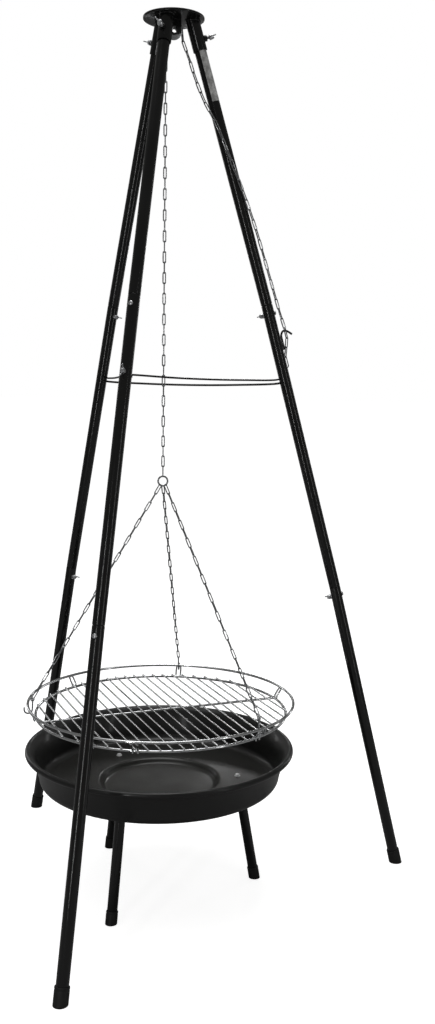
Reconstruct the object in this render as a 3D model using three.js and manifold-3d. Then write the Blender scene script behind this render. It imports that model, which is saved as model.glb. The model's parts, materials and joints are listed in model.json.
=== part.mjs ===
// Campfire tripod with a chain-hung round grate over a fire bowl. Millimetres, +Z up, floor at z = 0.
// The tripod's own axis is x = y = 0 while it is built; at the end the whole group is moved sideways,
// so that the origin lies under the middle of the bounding box.
import * as THREE from "three";
import { mergeVertices } from "three/addons/utils/BufferGeometryUtils.js";
import Module from "manifold-3d";

const wasm = await Module();
wasm.setup();

// ---- driving dimensions ----
const GAP = 0.35; // play left between touching pieces

const LEG_NAMES = ["front", "right", "back"];
const LEG_AZIMUTH = { front: -110.6, right: 7.5, back: 129.7 }; // degrees, seen from above
const DATUM_Z = 6; // the level that heights and distances along a leg start from, above the ground
const FOOT_RADIUS = 548; // tripod axis to a leg's axis at the datum
const LEG_TILT = Math.atan(0.2502); // of the lower tube, from the vertical
const JOINT_LEAN = 1.13; // degrees that each joint's play leans the tube above it further in
const TUBE_R = 12.5;
const TUBE_WALL = 1.2;
const PLUG_R = 10.9; // swaged end that goes into the tube below
const PLUG_LENGTH = 55;
const TUBE_START = 2; // lower end of the lowest tube, along the leg
const LOWER_MOUTH = 686; // mouths of the lower and middle tubes, along the leg
const UPPER_MOUTH = 1339;
const TUBE_END = 1936;
const BOLT_BELOW_MOUTH = 20;

const PLATE_R = 64.7;
const PLATE_Z = 1880; // underside
const PLATE_THICKNESS = 5;
const SOCKET_R = 15;
const SOCKET_START = 1885; // along the leg
const SOCKET_SCREW = 1908.5;
const NUT_ACROSS_CORNERS = 13.4;
const NUT_HEIGHT = 6;

const PULLEY_Z = 1858.5;
const PULLEY_R = 18;
const PULLEY_GROOVE_R = 10.2;
const PULLEY_HALF_WIDTH = 5.7;
const CHAIN_RUN_R = 16.5; // pulley axis to the chain's centreline
const AXLE_R = 7.9;
const AXLE_BORE_R = 6.5;
const CHEEK_WIDTH = 30;
const CHEEK_LOW_Z = 1849.7;
const CHEEK_INNER = 6.1;
const CHEEK_OUTER = 8.1;

const SCREW_R = 3;
const WING_SPAN_R = 12.5;
const WING_HEIGHT = 13;
const BOSS_R = 6;
const BOSS_HEIGHT = 8;

const SPREADER_AT = 1181; // along the leg
const ROD_R = 2.4;
const EYE_R = 6.6;
const EYE_THICKNESS = 2.2;

const CHAIN_R = 4; // half the width of a link
const CHAIN_PIVOT_Z = 1844; // where the hanging strand leaves the pulley
const JUNCTION_Z = 909.5;
const JUNCTION_R = 10.5;
const JUNCTION_WIRE_R = 2;

const GRATE_RIM_Z = 415;
const GRATE_RIM_R = 297;
const GRATE_Z = 391;
const GRATE_R = 280;
const RING_WIRE_R = 3;
const BAR_WIRE_R = 2;
const BAR_PITCH = 23.3;
const BARS_EACH_SIDE = 11;
const CROSSBAR_AZIMUTH = 19.5;
const RISER_AZIMUTHS = [20, 82, 138, 194, 260, 315];
const HOOK_AZIMUTHS = { back: 82, left: 194, right: 315 };
const RISER_WIRE_R = 2;
const RISER_SPREAD = 11;
const HOOK_WIRE_R = 1.75;

const BOWL_X = -19;
const BOWL_Y = -19;
const BOWL_SHEET = 1.5;
const BOWL_RIM_R = 299.5;
const BOWL_RIM_Z = 317;
const BOWL_WALL_R = 280; // at the top; the wall draws in to BOWL_WALL_LOW_R
const BOWL_WALL_LOW_R = 269;
const BOWL_CORNER_R = 18;
const BOWL_FLOOR_Z = 236; // underside of the floor outside the recess
const BOWL_RECESS_R = 133;
const BOWL_RECESS_DEPTH = 12;
const BOWL_LEG_AZIMUTHS = { front: -116.5, right: 3.5, back: 123.5 };
const BOWL_BOLT_RADIUS = 177;
const BOWL_FOOT_RADIUS = 219;
const BOWL_LEG_R = 11;
const BOWL_LEG_TILT = Math.atan((BOWL_FOOT_RADIUS - BOWL_BOLT_RADIUS) / BOWL_FLOOR_Z);

const BLACK_PAINT = { color: 0x141414, roughness: 0.3, metalness: 0.3 };
const BLACK_PLASTIC = { color: 0x101010, roughness: 0.7, metalness: 0 };
const ENAMEL = { color: 0x1a1b1a, roughness: 0.25, metalness: 0.1 };
const ZINC = { color: 0xb9bcc0, roughness: 0.35, metalness: 1 };
const CHROME = { color: 0xd6d8da, roughness: 0.2, metalness: 1 };

const rad = THREE.MathUtils.degToRad;
const vec = (x, y, z) => new THREE.Vector3(x, y, z);

// ---- shared helpers ----
function solidOf(geometry) {
  const bare = geometry.index ? geometry.toNonIndexed() : geometry.clone();
  bare.deleteAttribute("normal");
  bare.deleteAttribute("uv");
  const merged = mergeVertices(bare, 1e-4);
  const mesh = new wasm.Mesh({
    numProp: 3,
    vertProperties: merged.attributes.position.array,
    triVerts: new Uint32Array(merged.index.array),
  });
  return new wasm.Manifold(mesh);
}

function geometryOf(solid) {
  const mesh = solid.getMesh();
  return new THREE.BufferGeometry()
    .setAttribute("position", new THREE.BufferAttribute(mesh.vertProperties, 3))
    .setIndex(new THREE.BufferAttribute(mesh.triVerts, 1));
}

function joined(geometries) {
  return geometryOf(geometries.map(solidOf).reduce((a, b) => a.add(b)));
}

function cutBy(geometry, cutters) {
  return geometryOf(cutters.map(solidOf).reduce((a, b) => a.subtract(b), solidOf(geometry)));
}

function part(name, geometry, finish) {
  const mesh = new THREE.Mesh(geometry, new THREE.MeshStandardMaterial(finish));
  mesh.name = name;
  return mesh;
}

// A solid of revolution about +Z from [radius, z] pairs: it closes on itself or ends on the axis.
function turned(profile, segments) {
  const points = profile.map(([r, z]) => new THREE.Vector2(r, z));
  const onAxis = profile[0][0] === 0 && profile.at(-1)[0] === 0;
  if (!onAxis) points.push(points[0].clone());
  return new THREE.LatheGeometry(points, segments).rotateX(Math.PI / 2);
}

// A straight round bar between two points.
function bar(radius, from, to, sides) {
  const along = to.clone().sub(from);
  const turn = new THREE.Quaternion().setFromUnitVectors(vec(0, 1, 0), along.clone().normalize());
  const middle = from.clone().add(to).multiplyScalar(0.5);
  return new THREE.CylinderGeometry(radius, radius, along.length(), sides)
    .applyQuaternion(turn)
    .translate(middle.x, middle.y, middle.z);
}

function circleShape(radius, sides) {
  const points = [];
  for (let i = 0; i < sides; i++) {
    const a = (2 * Math.PI * i) / sides;
    points.push(new THREE.Vector2(radius * Math.cos(a), radius * Math.sin(a)));
  }
  return new THREE.Shape(points);
}

// A smooth curve stepped evenly from point to point, so that a short bend keeps its shape.
class Route extends THREE.CatmullRomCurve3 {
  getPointAt(u) {
    return this.getPoint(u);
  }

  getTangentAt(u) {
    return this.getTangent(u);
  }
}

// A round bar bent along a smooth curve, with the same number of steps between each two points.
function bentBar(radius, points, sides, stepsBetween) {
  const path = new Route(points, false, "centripetal");
  const steps = stepsBetween * (points.length - 1);
  return new THREE.ExtrudeGeometry(circleShape(radius, sides), { steps, extrudePath: path });
}

// A point at a radius and azimuth (degrees) round an axis.
function around(radius, azimuth, z, centreX = 0, centreY = 0) {
  const a = rad(azimuth);
  return vec(centreX + radius * Math.cos(a), centreY + radius * Math.sin(a), z);
}

// The pose of a splayed leg: +Z runs up the leg from the floor, +X faces outward, square to the leg.
function legPose(footRadius, azimuth, tilt) {
  const turn = new THREE.Matrix4().makeRotationZ(rad(azimuth));
  const shift = new THREE.Matrix4().makeTranslation(footRadius, 0, 0);
  const lean = new THREE.Matrix4().makeRotationY(-tilt);
  return turn.multiply(shift).multiply(lean);
}

// The turn that a joint gives the tube above it, in the frame of the tube below.
function jointTurn(mouth) {
  const lean = new THREE.Matrix4().makeRotationY(-rad(JOINT_LEAN));
  return new THREE.Matrix4()
    .makeTranslation(0, 0, mouth)
    .multiply(lean)
    .multiply(new THREE.Matrix4().makeTranslation(0, 0, -mouth));
}

// The frame of the tube at a distance along a leg, in the frame of the lowest tube.
function tubeFrame(along) {
  const frame = new THREE.Matrix4();
  for (const mouth of [LOWER_MOUTH, UPPER_MOUTH]) if (along > mouth) frame.multiply(jointTurn(mouth));
  return frame;
}

function onTube(geometry, along) {
  return geometry.applyMatrix4(tubeFrame(along));
}

function tripodLegPose(name) {
  return legPose(FOOT_RADIUS, LEG_AZIMUTH[name], LEG_TILT);
}

function legGroup(pose) {
  const group = new THREE.Group();
  group.applyMatrix4(pose);
  return group;
}

// A block that fills the space above or below a level plane, in the frame of a leg.
function levelCutter(footRadius, tilt, z, above) {
  const size = 400;
  const block = new THREE.BoxGeometry(size, size, size);
  block.translate(footRadius - z * Math.tan(tilt), 0, above ? z + size / 2 : z - size / 2);
  return block.applyMatrix4(legPose(footRadius, 0, tilt).invert());
}

// ---- tripod head ----
const PULLEY_AZIMUTH = 9.5;
const STRAND = around(-CHAIN_RUN_R, PULLEY_AZIMUTH, 0); // where the grate's chain hangs

// Turns a piece built round +Z so that it lies on the pulley's axis.
function onPulleyAxis(geometry) {
  return geometry
    .rotateX(-Math.PI / 2)
    .rotateZ(rad(PULLEY_AZIMUTH))
    .translate(0, 0, PULLEY_Z);
}

function headPlate() {
  const edge = 1.2;
  const top = PLATE_Z + PLATE_THICKNESS;
  const plate = turned(
    [[0, PLATE_Z], [PLATE_R - edge, PLATE_Z], [PLATE_R, PLATE_Z + edge],
     [PLATE_R, top - edge], [PLATE_R - edge, top], [0, top]],
    36,
  );
  const pieces = [plate];
  for (const side of [-1, 1]) {
    const height = PLATE_Z + 1 - CHEEK_LOW_Z;
    const cheek = new THREE.BoxGeometry(CHEEK_WIDTH, CHEEK_OUTER - CHEEK_INNER, height)
      .translate(0, (side * (CHEEK_OUTER + CHEEK_INNER)) / 2, CHEEK_LOW_Z + height / 2)
      .rotateZ(rad(PULLEY_AZIMUTH));
    pieces.push(cheek);
  }
  const hole = AXLE_R + GAP;
  const length = CHEEK_OUTER + 2;
  const axleHole = onPulleyAxis(turned([[0, -length], [hole, -length], [hole, length], [0, length]], 20));
  return part("head_plate", cutBy(joined(pieces), [axleHole]), BLACK_PAINT);
}

function chainPulley() {
  const bore = AXLE_R + GAP;
  const w = PULLEY_HALF_WIDTH;
  const profile = [
    [bore, -w], [PULLEY_R, -w], [PULLEY_R, -w + 0.9], [PULLEY_GROOVE_R, -w + 1.25],
    [PULLEY_GROOVE_R, w - 1.25], [PULLEY_R, w - 0.9], [PULLEY_R, w], [bore, w],
  ];
  return part("chain_pulley", onPulleyAxis(turned(profile, 24)), ZINC);
}

function pulleyAxle() {
  const shoulder = CHEEK_OUTER + GAP;
  const end = shoulder + 1.3;
  const flange = 10.2;
  const profile = [
    [AXLE_BORE_R, -end], [flange, -end], [flange, -shoulder], [AXLE_R, -shoulder],
    [AXLE_R, shoulder], [flange, shoulder], [flange, end], [AXLE_BORE_R, end],
  ];
  return part("pulley_axle", onPulleyAxis(turned(profile, 20)), BLACK_PAINT);
}

function legSocket(name) {
  const bore = TUBE_R + GAP;
  const end = TUBE_END + 40;
  const tube = turned([[bore, SOCKET_START], [SOCKET_R, SOCKET_START], [SOCKET_R, end], [bore, end]], 18);
  const nutFrom = SOCKET_R - 1;
  const nutLength = SOCKET_R + NUT_HEIGHT - nutFrom;
  const nut = new THREE.CylinderGeometry(NUT_ACROSS_CORNERS / 2, NUT_ACROSS_CORNERS / 2, nutLength, 6)
    .rotateZ(Math.PI / 2)
    .translate(nutFrom + nutLength / 2, 0, SOCKET_SCREW);
  const hole = bar(SCREW_R + GAP, vec(0, 0, SOCKET_SCREW), vec(40, 0, SOCKET_SCREW), 10);
  const plateCut = levelCutter(FOOT_RADIUS, LEG_TILT, PLATE_Z - GAP, true);
  const inside = bar(bore, vec(0, 0, SOCKET_START - 5), vec(0, 0, end + 5), 18).rotateZ(Math.PI / 2);
  const body = onTube(cutBy(joined([tube, nut]), [hole, inside]), SOCKET_START);
  return part("socket_" + name, cutBy(body, [plateCut]), BLACK_PAINT);
}

// ---- wing nuts and screws, built along +X with the seat at x = 0 ----
function wings() {
  const boss = turned([[0, 0], [BOSS_R, 0], [BOSS_R - 1.2, BOSS_HEIGHT], [0, BOSS_HEIGHT]], 12);
  const outline = new THREE.Shape();
  outline.moveTo(2, 1);
  outline.lineTo(BOSS_R, 1.2);
  outline.quadraticCurveTo(8.5, 3, 10.4, 6);
  outline.lineTo(WING_SPAN_R, 9.6);
  outline.quadraticCurveTo(WING_SPAN_R + 0.2, 12.2, 10.6, WING_HEIGHT);
  outline.quadraticCurveTo(8.2, 12.6, 7.4, 10);
  outline.lineTo(4.4, 7.2);
  outline.lineTo(2, 7);
  outline.closePath();
  const thickness = 2.2;
  const pieces = [boss];
  for (const turn of [0, Math.PI]) {
    const ear = new THREE.ExtrudeGeometry(outline, { depth: thickness, bevelEnabled: false, curveSegments: 3 })
      .translate(0, 0, -thickness / 2)
      .rotateX(Math.PI / 2)
      .rotateZ(turn);
    pieces.push(ear);
  }
  return joined(pieces).rotateY(Math.PI / 2);
}

function wingNut() {
  const bore = bar(SCREW_R + GAP, vec(-5, 0, 0), vec(BOSS_HEIGHT + 5, 0, 0), 10);
  return cutBy(wings(), [bore]);
}

function wingScrew(shankLength) {
  const shank = bar(SCREW_R, vec(-shankLength, 0, 0), vec(1, 0, 0), 10);
  return joined([wings(), shank]);
}

function headWingScrew(name) {
  const seat = SOCKET_R + NUT_HEIGHT + 5.5; // the screw stands a little out of its nut
  const screw = wingScrew(seat - TUBE_R - GAP)
    .rotateX(rad(name === "front" ? 44 : 90))
    .translate(seat, 0, SOCKET_SCREW);
  return part("head_wing_screw_" + name, onTube(screw, SOCKET_SCREW), ZINC);
}

// ---- legs ----
function boltHole(at) {
  return onTube(bar(SCREW_R + GAP, vec(-30, 0, at), vec(30, 0, at), 10), at);
}

// One hollow tube of a leg; a plug below its start goes into the tube under it, in line with that tube.
function legTube(name, from, to, hasPlug, holes) {
  const inner = TUBE_R - TUBE_WALL;
  if (!hasPlug) {
    const tube = turned([[inner, from], [TUBE_R, from], [TUBE_R, to], [inner, to]], 16);
    return part(name, cutBy(tube, holes), BLACK_PAINT);
  }
  const plugInner = PLUG_R - TUBE_WALL;
  const shoulder = from + 0.6;
  const body = turned(
    [[plugInner, shoulder], [TUBE_R - 0.6, shoulder], [TUBE_R, shoulder + 1.6], [TUBE_R, to], [inner, to],
     [inner, shoulder + 3], [plugInner, shoulder + 2.4]],
    16,
  );
  const plug = turned(
    [[plugInner, from - PLUG_LENGTH], [PLUG_R, from - PLUG_LENGTH], [PLUG_R, shoulder + 1.6],
     [plugInner, shoulder + 1.6]],
    16,
  );
  return part(name, cutBy(joined([onTube(body, to), onTube(plug, from - 1)]), holes), BLACK_PAINT);
}

function rodHoles(name) {
  if (name === "front") return [boltHole(SPREADER_AT)];
  return SPREADER_ENDS.map((offset) => {
    const at = SPREADER_AT + offset;
    return onTube(bar(ROD_R + 1.1, vec(-30, 0, at), vec(0, 0, at), 8), at);
  });
}

function legBolt(name, at) {
  const head = turned([[0, 0], [5, 0], [5, 2.2], [3.4, 3.6], [0, 3.6]], 12)
    .rotateY(Math.PI / 2)
    .translate(TUBE_R + GAP, 0, at);
  const shank = bar(SCREW_R, vec(-TUBE_R - BOSS_HEIGHT - 2.4, 0, at), vec(TUBE_R + 1.5, 0, at), 10);
  return part(name, onTube(joined([head, shank]), at), ZINC);
}

function legWingNut(name, at) {
  const nut = wingNut()
    .rotateX(rad(name.endsWith("front") ? 0 : 90))
    .rotateZ(Math.PI)
    .translate(-TUBE_R - GAP, 0, at);
  return part(name, onTube(nut, at), ZINC);
}

// A plastic cup on a tube's end, its sole cut level with the floor.
function footCap(name, outer, tubeRadius, tubeStart, length, footRadius, tilt) {
  const inner = tubeRadius + GAP;
  const seat = tubeStart - GAP;
  const cup = turned(
    [[0, -28], [outer, -28], [outer, length - 1.5], [outer - 0.8, length], [inner, length],
     [inner, seat], [0, seat]],
    18,
  );
  const floor = levelCutter(footRadius, tilt, -DATUM_Z, false);
  return part(name, cutBy(cup, [floor]), BLACK_PLASTIC);
}

function tripodLeg(name) {
  const group = legGroup(tripodLegPose(name));
  const lowerBolt = LOWER_MOUTH - BOLT_BELOW_MOUTH;
  const upperBolt = UPPER_MOUTH - BOLT_BELOW_MOUTH;
  const lowerHole = boltHole(lowerBolt);
  const upperHole = boltHole(upperBolt);
  group.add(
    footCap("foot_cap_" + name, SOCKET_R, TUBE_R, TUBE_START, 27, FOOT_RADIUS, LEG_TILT),
    legTube("leg_lower_" + name, TUBE_START, LOWER_MOUTH, false, [lowerHole]),
    legTube("leg_middle_" + name, LOWER_MOUTH, UPPER_MOUTH, true, [lowerHole, upperHole, ...rodHoles(name)]),
    legTube("leg_upper_" + name, UPPER_MOUTH, TUBE_END, true, [upperHole]),
    legBolt("leg_bolt_lower_" + name, lowerBolt),
    legBolt("leg_bolt_upper_" + name, upperBolt),
    legWingNut("wing_nut_lower_" + name, lowerBolt),
    legWingNut("wing_nut_upper_" + name, upperBolt),
    legSocket(name),
    headWingScrew(name),
  );
  return group;
}

// ---- spreader rods ----
const SPREADER_ENDS = [-13.5, -5]; // the two rods' heights on a leg, from SPREADER_AT
const EYE_SEATS = [TUBE_R + GAP, TUBE_R + 2 * GAP + EYE_THICKNESS + 1.2];

// A point beside a tripod leg: out from its axis, sideways, and along it.
function besideLeg(name, out, side, along) {
  return vec(out, side, along).applyMatrix4(tubeFrame(along)).applyMatrix4(tripodLegPose(name));
}

function eyeOnFrontLeg(seat) {
  const ring = turned(
    [[SCREW_R + GAP, 0], [EYE_R, 0], [EYE_R, EYE_THICKNESS], [SCREW_R + GAP, EYE_THICKNESS]], 14);
  ring.rotateY(-Math.PI / 2).translate(-seat, 0, SPREADER_AT);
  return onTube(ring, SPREADER_AT).applyMatrix4(tripodLegPose("front"));
}

// The bent end that hooks through the inner wall of a leg.
function rodEnd(name, offset) {
  const at = SPREADER_AT + offset;
  return [besideLeg(name, -TUBE_R - 5, 0, at), besideLeg(name, -TUBE_R + 4, 0, at)];
}

function sagging(from, to, sag) {
  const points = [];
  for (const t of [0.25, 0.5, 0.75]) {
    const p = from.clone().lerp(to, t);
    p.z -= sag * 4 * t * (1 - t);
    points.push(p);
  }
  return points;
}

function spreaderFromFront(name, seat, towards, offset, sag) {
  const side = towards === "right" ? 1 : -1;
  const x = -seat - EYE_THICKNESS / 2;
  const start = besideLeg("front", x, side * (EYE_R - 1.5), SPREADER_AT);
  const out = besideLeg("front", x, side * (EYE_R + 5), SPREADER_AT);
  const [outer, tip] = rodEnd(towards, offset);
  const rod = bentBar(EYE_THICKNESS / 2 + 0.9, [start, out, ...sagging(out, outer, sag), outer, tip], 8, 3);
  const bore = bar(
    SCREW_R + GAP,
    besideLeg("front", -40, 0, SPREADER_AT),
    besideLeg("front", 0, 0, SPREADER_AT),
    14,
  );
  return part(name, cutBy(joined([eyeOnFrontLeg(seat), rod]), [bore]), BLACK_PAINT);
}

function spreaderBetween(name, one, oneOffset, other, otherOffset, sag) {
  const [a, aTip] = rodEnd(one, oneOffset);
  const [b, bTip] = rodEnd(other, otherOffset);
  const rod = bentBar(ROD_R, [aTip, a, ...sagging(a, b, sag), b, bTip], 8, 3);
  return part(name, rod, BLACK_PAINT);
}

function spreader() {
  const group = new THREE.Group();
  const [low, high] = SPREADER_ENDS;
  group.add(
    spreaderFromFront("spreader_rod_front_right", EYE_SEATS[0], "right", high, 4),
    spreaderFromFront("spreader_rod_front_back", EYE_SEATS[1], "back", high, 3),
    spreaderBetween("spreader_rod_back_right", "back", low, "right", low, 6),
  );
  const bench = legGroup(tripodLegPose("front").multiply(tubeFrame(SPREADER_AT)));
  const headAt = EYE_SEATS[1] + EYE_THICKNESS + 1.2 + GAP;
  const head = new THREE.CylinderGeometry(5.6, 5.6, 4, 6).rotateZ(Math.PI / 2).translate(-headAt - 2, 0, SPREADER_AT);
  const shank = bar(
    SCREW_R,
    vec(-headAt - 1, 0, SPREADER_AT),
    vec(TUBE_R + BOSS_HEIGHT + 2.4, 0, SPREADER_AT),
    10,
  );
  const nut = wingNut()
    .rotateX(rad(-6)) // its wings stand up and down the leg
    .translate(TUBE_R + GAP, 0, SPREADER_AT);
  bench.add(
    part("spreader_bolt", joined([head, shank]), ZINC),
    part("spreader_wing_nut", nut, ZINC),
  );
  group.add(bench);
  return group;
}

// ---- chain hook and the chains; a chain is a plain bar as wide as its links ----
function chainHook() {
  const sideways = TUBE_R + ROD_R + GAP;
  const route = [
    [sideways, 1236], [sideways, 1260], [sideways + 0.5, 1268], [19.5, 1274.5], [24.6, 1276.6],
    [30.5, 1273.8], [35.2, 1269.6], [39.6, 1264.8],
  ];
  const points = route.map(([out, along]) => besideLeg("right", out, 0, along));
  return part("chain_hook", bentBar(ROD_R, points, 8, 2), BLACK_PAINT);
}

// From under the pulley's left side, over it, down to the right leg, round it to the hook and past it.
function returnChain() {
  const points = [vec(STRAND.x, STRAND.y, CHAIN_PIVOT_Z + 0.6), vec(STRAND.x, STRAND.y, PULLEY_Z - 6)];
  for (let i = 0; i <= 8; i++) {
    const a = Math.PI * (1 - i / 8);
    points.push(around(CHAIN_RUN_R * Math.cos(a), PULLEY_AZIMUTH, PULLEY_Z + CHAIN_RUN_R * Math.sin(a)));
  }
  points.push(
    around(17.6, PULLEY_AZIMUTH, 1845),
    around(24.5, PULLEY_AZIMUTH, 1826),
    around(35.5, 9, 1798),
    around(43.5, 8.4, 1774),
  );
  const route = [
    [-21.5, -2.5, 1797], [-17.9, -6.5, 1772], [-10, -15.2, 1735], [0, -17.6, 1657], [10, -15.2, 1577],
    [17, -8.5, 1507], [20.5, -5.5, 1410], [22.6, -5.5, 1325], [24.4, -7.4, 1290], [25.4, -7.5, 1272],
    [25, -1, 1251], [19.6, 7.4, 1234], [15.4, 10.4, 1217], [15.6, 9.6, 1200], [16.8, 8.6, 1186],
  ];
  points.push(...route.map(([out, side, along]) => besideLeg("right", out, side, along)));
  return part("return_chain", bentBar(CHAIN_R, points, 6, 2), ZINC);
}

function mainChain() {
  const top = vec(STRAND.x, STRAND.y, CHAIN_PIVOT_Z - 0.7);
  const low = vec(STRAND.x, STRAND.y, JUNCTION_Z + JUNCTION_R + JUNCTION_WIRE_R + GAP);
  return part("main_chain", bar(CHAIN_R, low, top, 8), ZINC);
}

function junctionRing() {
  const ring = new THREE.TorusGeometry(JUNCTION_R, JUNCTION_WIRE_R, 8, 20)
    .rotateX(Math.PI / 2)
    .rotateZ(rad(PULLEY_AZIMUTH))
    .translate(STRAND.x, STRAND.y, JUNCTION_Z);
  return part("junction_ring", ring, ZINC);
}

function onGrate(radius, azimuth, z) {
  return around(radius, azimuth, z, STRAND.x, STRAND.y);
}

function grateChain(name, azimuth) {
  const apex = vec(STRAND.x, STRAND.y, JUNCTION_Z - JUNCTION_R - JUNCTION_WIRE_R - 2);
  const end = onGrate(GRATE_RIM_R - 10, azimuth, GRATE_RIM_Z + 27);
  const along = end.clone().sub(apex).normalize();
  const start = apex.clone().addScaledVector(along, 10);
  return part("grate_chain_" + name, bar(CHAIN_R, start, end, 8), ZINC);
}

function grateHook(name, azimuth) {
  const route = [
    [-8.6, 24], [-8.4, 12], [-8.2, 4], [-7.8, -2.5], [-5, -7.6], [0.5, -9.6], [6, -8], [9.4, -3], [9.6, 4],
  ];
  const points = route.map(([out, up]) => onGrate(GRATE_RIM_R + out, azimuth, GRATE_RIM_Z + up));
  return part("grate_hook_" + name, bentBar(HOOK_WIRE_R, points, 6, 2), ZINC);
}

// ---- grate ----
function ringGeometry(radius, z) {
  return new THREE.TorusGeometry(radius, RING_WIRE_R, 8, 40).translate(STRAND.x, STRAND.y, z);
}

function grateFloor() {
  const pieces = [ringGeometry(GRATE_R, GRATE_Z)];
  const across = rad(CROSSBAR_AZIMUTH);
  const barZ = GRATE_Z + RING_WIRE_R + BAR_WIRE_R - 0.6;
  const reach = GRATE_R + RING_WIRE_R - 0.5;
  for (let i = -BARS_EACH_SIDE; i <= BARS_EACH_SIDE; i++) {
    const offset = i * BAR_PITCH;
    const half = Math.sqrt(reach * reach - offset * offset);
    const x = STRAND.x + offset * Math.cos(across);
    const y = STRAND.y + offset * Math.sin(across);
    const dx = half * -Math.sin(across);
    const dy = half * Math.cos(across);
    pieces.push(bar(BAR_WIRE_R, vec(x - dx, y - dy, barZ), vec(x + dx, y + dy, barZ), 6));
  }
  const end = GRATE_R - 0.5;
  const left = onGrate(end, CROSSBAR_AZIMUTH + 180, GRATE_Z);
  const right = onGrate(end, CROSSBAR_AZIMUTH, GRATE_Z);
  pieces.push(bar(RING_WIRE_R - 0.2, left, right, 8));
  return part("grate_floor", joined(pieces), CHROME);
}

// A bent wire with two feet outside the lower ring and its loop against the upper ring.
function riser(azimuth) {
  const half = RISER_SPREAD / 2;
  const footR = GRATE_R + RING_WIRE_R + RISER_WIRE_R + GAP;
  const side = vec(-Math.sin(rad(azimuth)), Math.cos(rad(azimuth)), 0);
  const at = (radius, z, offset) => onGrate(radius, azimuth, z).addScaledVector(side, offset);
  const points = [
    at(footR, GRATE_Z - 3, -half), at(footR + 1, GRATE_Z + 4, -half), at(GRATE_RIM_R, GRATE_RIM_Z - 3, -half + 1),
    at(GRATE_RIM_R, GRATE_RIM_Z, 0),
    at(GRATE_RIM_R, GRATE_RIM_Z - 3, half - 1), at(footR + 1, GRATE_Z + 4, half), at(footR, GRATE_Z - 3, half),
  ];
  return bentBar(RISER_WIRE_R, points, 6, 2);
}

function grateRim() {
  const pieces = [ringGeometry(GRATE_RIM_R, GRATE_RIM_Z), ...RISER_AZIMUTHS.map(riser)];
  return part("grate_rim", joined(pieces), CHROME);
}

function hangingGrate() {
  const group = new THREE.Group();
  group.add(mainChain(), junctionRing(), grateFloor(), grateRim());
  for (const [name, azimuth] of Object.entries(HOOK_AZIMUTHS)) {
    group.add(grateChain(name, azimuth), grateHook(name, azimuth));
  }
  return group;
}

// ---- fire bowl, in its own frame with its axis at x = y = 0 ----
function bowlCorner(radius, steps, upward) {
  const centreR = BOWL_WALL_LOW_R - BOWL_CORNER_R;
  const centreZ = BOWL_FLOOR_Z + BOWL_CORNER_R;
  const points = [];
  for (let i = 0; i <= steps; i++) {
    const t = upward ? i / steps : 1 - i / steps;
    const a = (t * Math.PI) / 2;
    points.push([centreR + radius * Math.sin(a), centreZ - radius * Math.cos(a)]);
  }
  return points;
}

function bowlRim() {
  const beadR = 6.4;
  const centreR = BOWL_RIM_R - beadR;
  const centreZ = BOWL_RIM_Z - beadR;
  const points = [[BOWL_WALL_R, centreZ - 6], [BOWL_WALL_R + 4, centreZ - 1.5]];
  for (let i = 0; i <= 6; i++) {
    const a = rad(-160 + i * 50);
    points.push([centreR + beadR * Math.cos(a), centreZ + beadR * Math.sin(a)]);
  }
  points.push([BOWL_WALL_R + 3, centreZ + 1.2], [BOWL_WALL_R - BOWL_SHEET, centreZ - 4]);
  return points;
}

function fireBowl() {
  const recessZ = BOWL_FLOOR_Z - BOWL_RECESS_DEPTH;
  const slope = 7;
  const profile = [
    [0, recessZ], [BOWL_RECESS_R - slope, recessZ], [BOWL_RECESS_R + 1, BOWL_FLOOR_Z],
    ...bowlCorner(BOWL_CORNER_R, 5, true),
    ...bowlRim(),
    ...bowlCorner(BOWL_CORNER_R - BOWL_SHEET, 5, false),
    [BOWL_RECESS_R, BOWL_FLOOR_Z + BOWL_SHEET], [BOWL_RECESS_R - slope - 1, recessZ + BOWL_SHEET],
    [0, recessZ + BOWL_SHEET],
  ];
  const holes = Object.values(BOWL_LEG_AZIMUTHS).map((azimuth) =>
    bar(
      SCREW_R + GAP,
      around(BOWL_BOLT_RADIUS, azimuth, BOWL_FLOOR_Z - 10),
      around(BOWL_BOLT_RADIUS, azimuth, BOWL_FLOOR_Z + 10),
      10,
    ),
  );
  return part("fire_bowl", cutBy(turned(profile, 36), holes), ENAMEL);
}

function bowlLeg(name) {
  const azimuth = BOWL_LEG_AZIMUTHS[name];
  const group = legGroup(legPose(BOWL_FOOT_RADIUS, azimuth, BOWL_LEG_TILT));
  const start = 1;
  const end = BOWL_FLOOR_Z / Math.cos(BOWL_LEG_TILT) + 5;
  const inner = BOWL_LEG_R - TUBE_WALL;
  const plugFrom = end - 34;
  const tube = turned(
    [[0, plugFrom], [inner, plugFrom], [inner, start], [BOWL_LEG_R, start], [BOWL_LEG_R, end], [0, end]], 14);
  const toLeg = legPose(BOWL_FOOT_RADIUS, 0, BOWL_LEG_TILT).invert();
  const hole = bar(
    SCREW_R + GAP,
    vec(BOWL_BOLT_RADIUS, 0, BOWL_FLOOR_Z - 50),
    vec(BOWL_BOLT_RADIUS, 0, BOWL_FLOOR_Z + 20),
    10,
  ).applyMatrix4(toLeg);
  const top = levelCutter(BOWL_FOOT_RADIUS, BOWL_LEG_TILT, BOWL_FLOOR_Z - GAP, true);
  group.add(
    part("bowl_leg_" + name, cutBy(tube, [top, hole]), BLACK_PAINT),
    footCap("bowl_cap_" + name, 13, BOWL_LEG_R, start, 21, BOWL_FOOT_RADIUS, BOWL_LEG_TILT),
  );
  return group;
}

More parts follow.
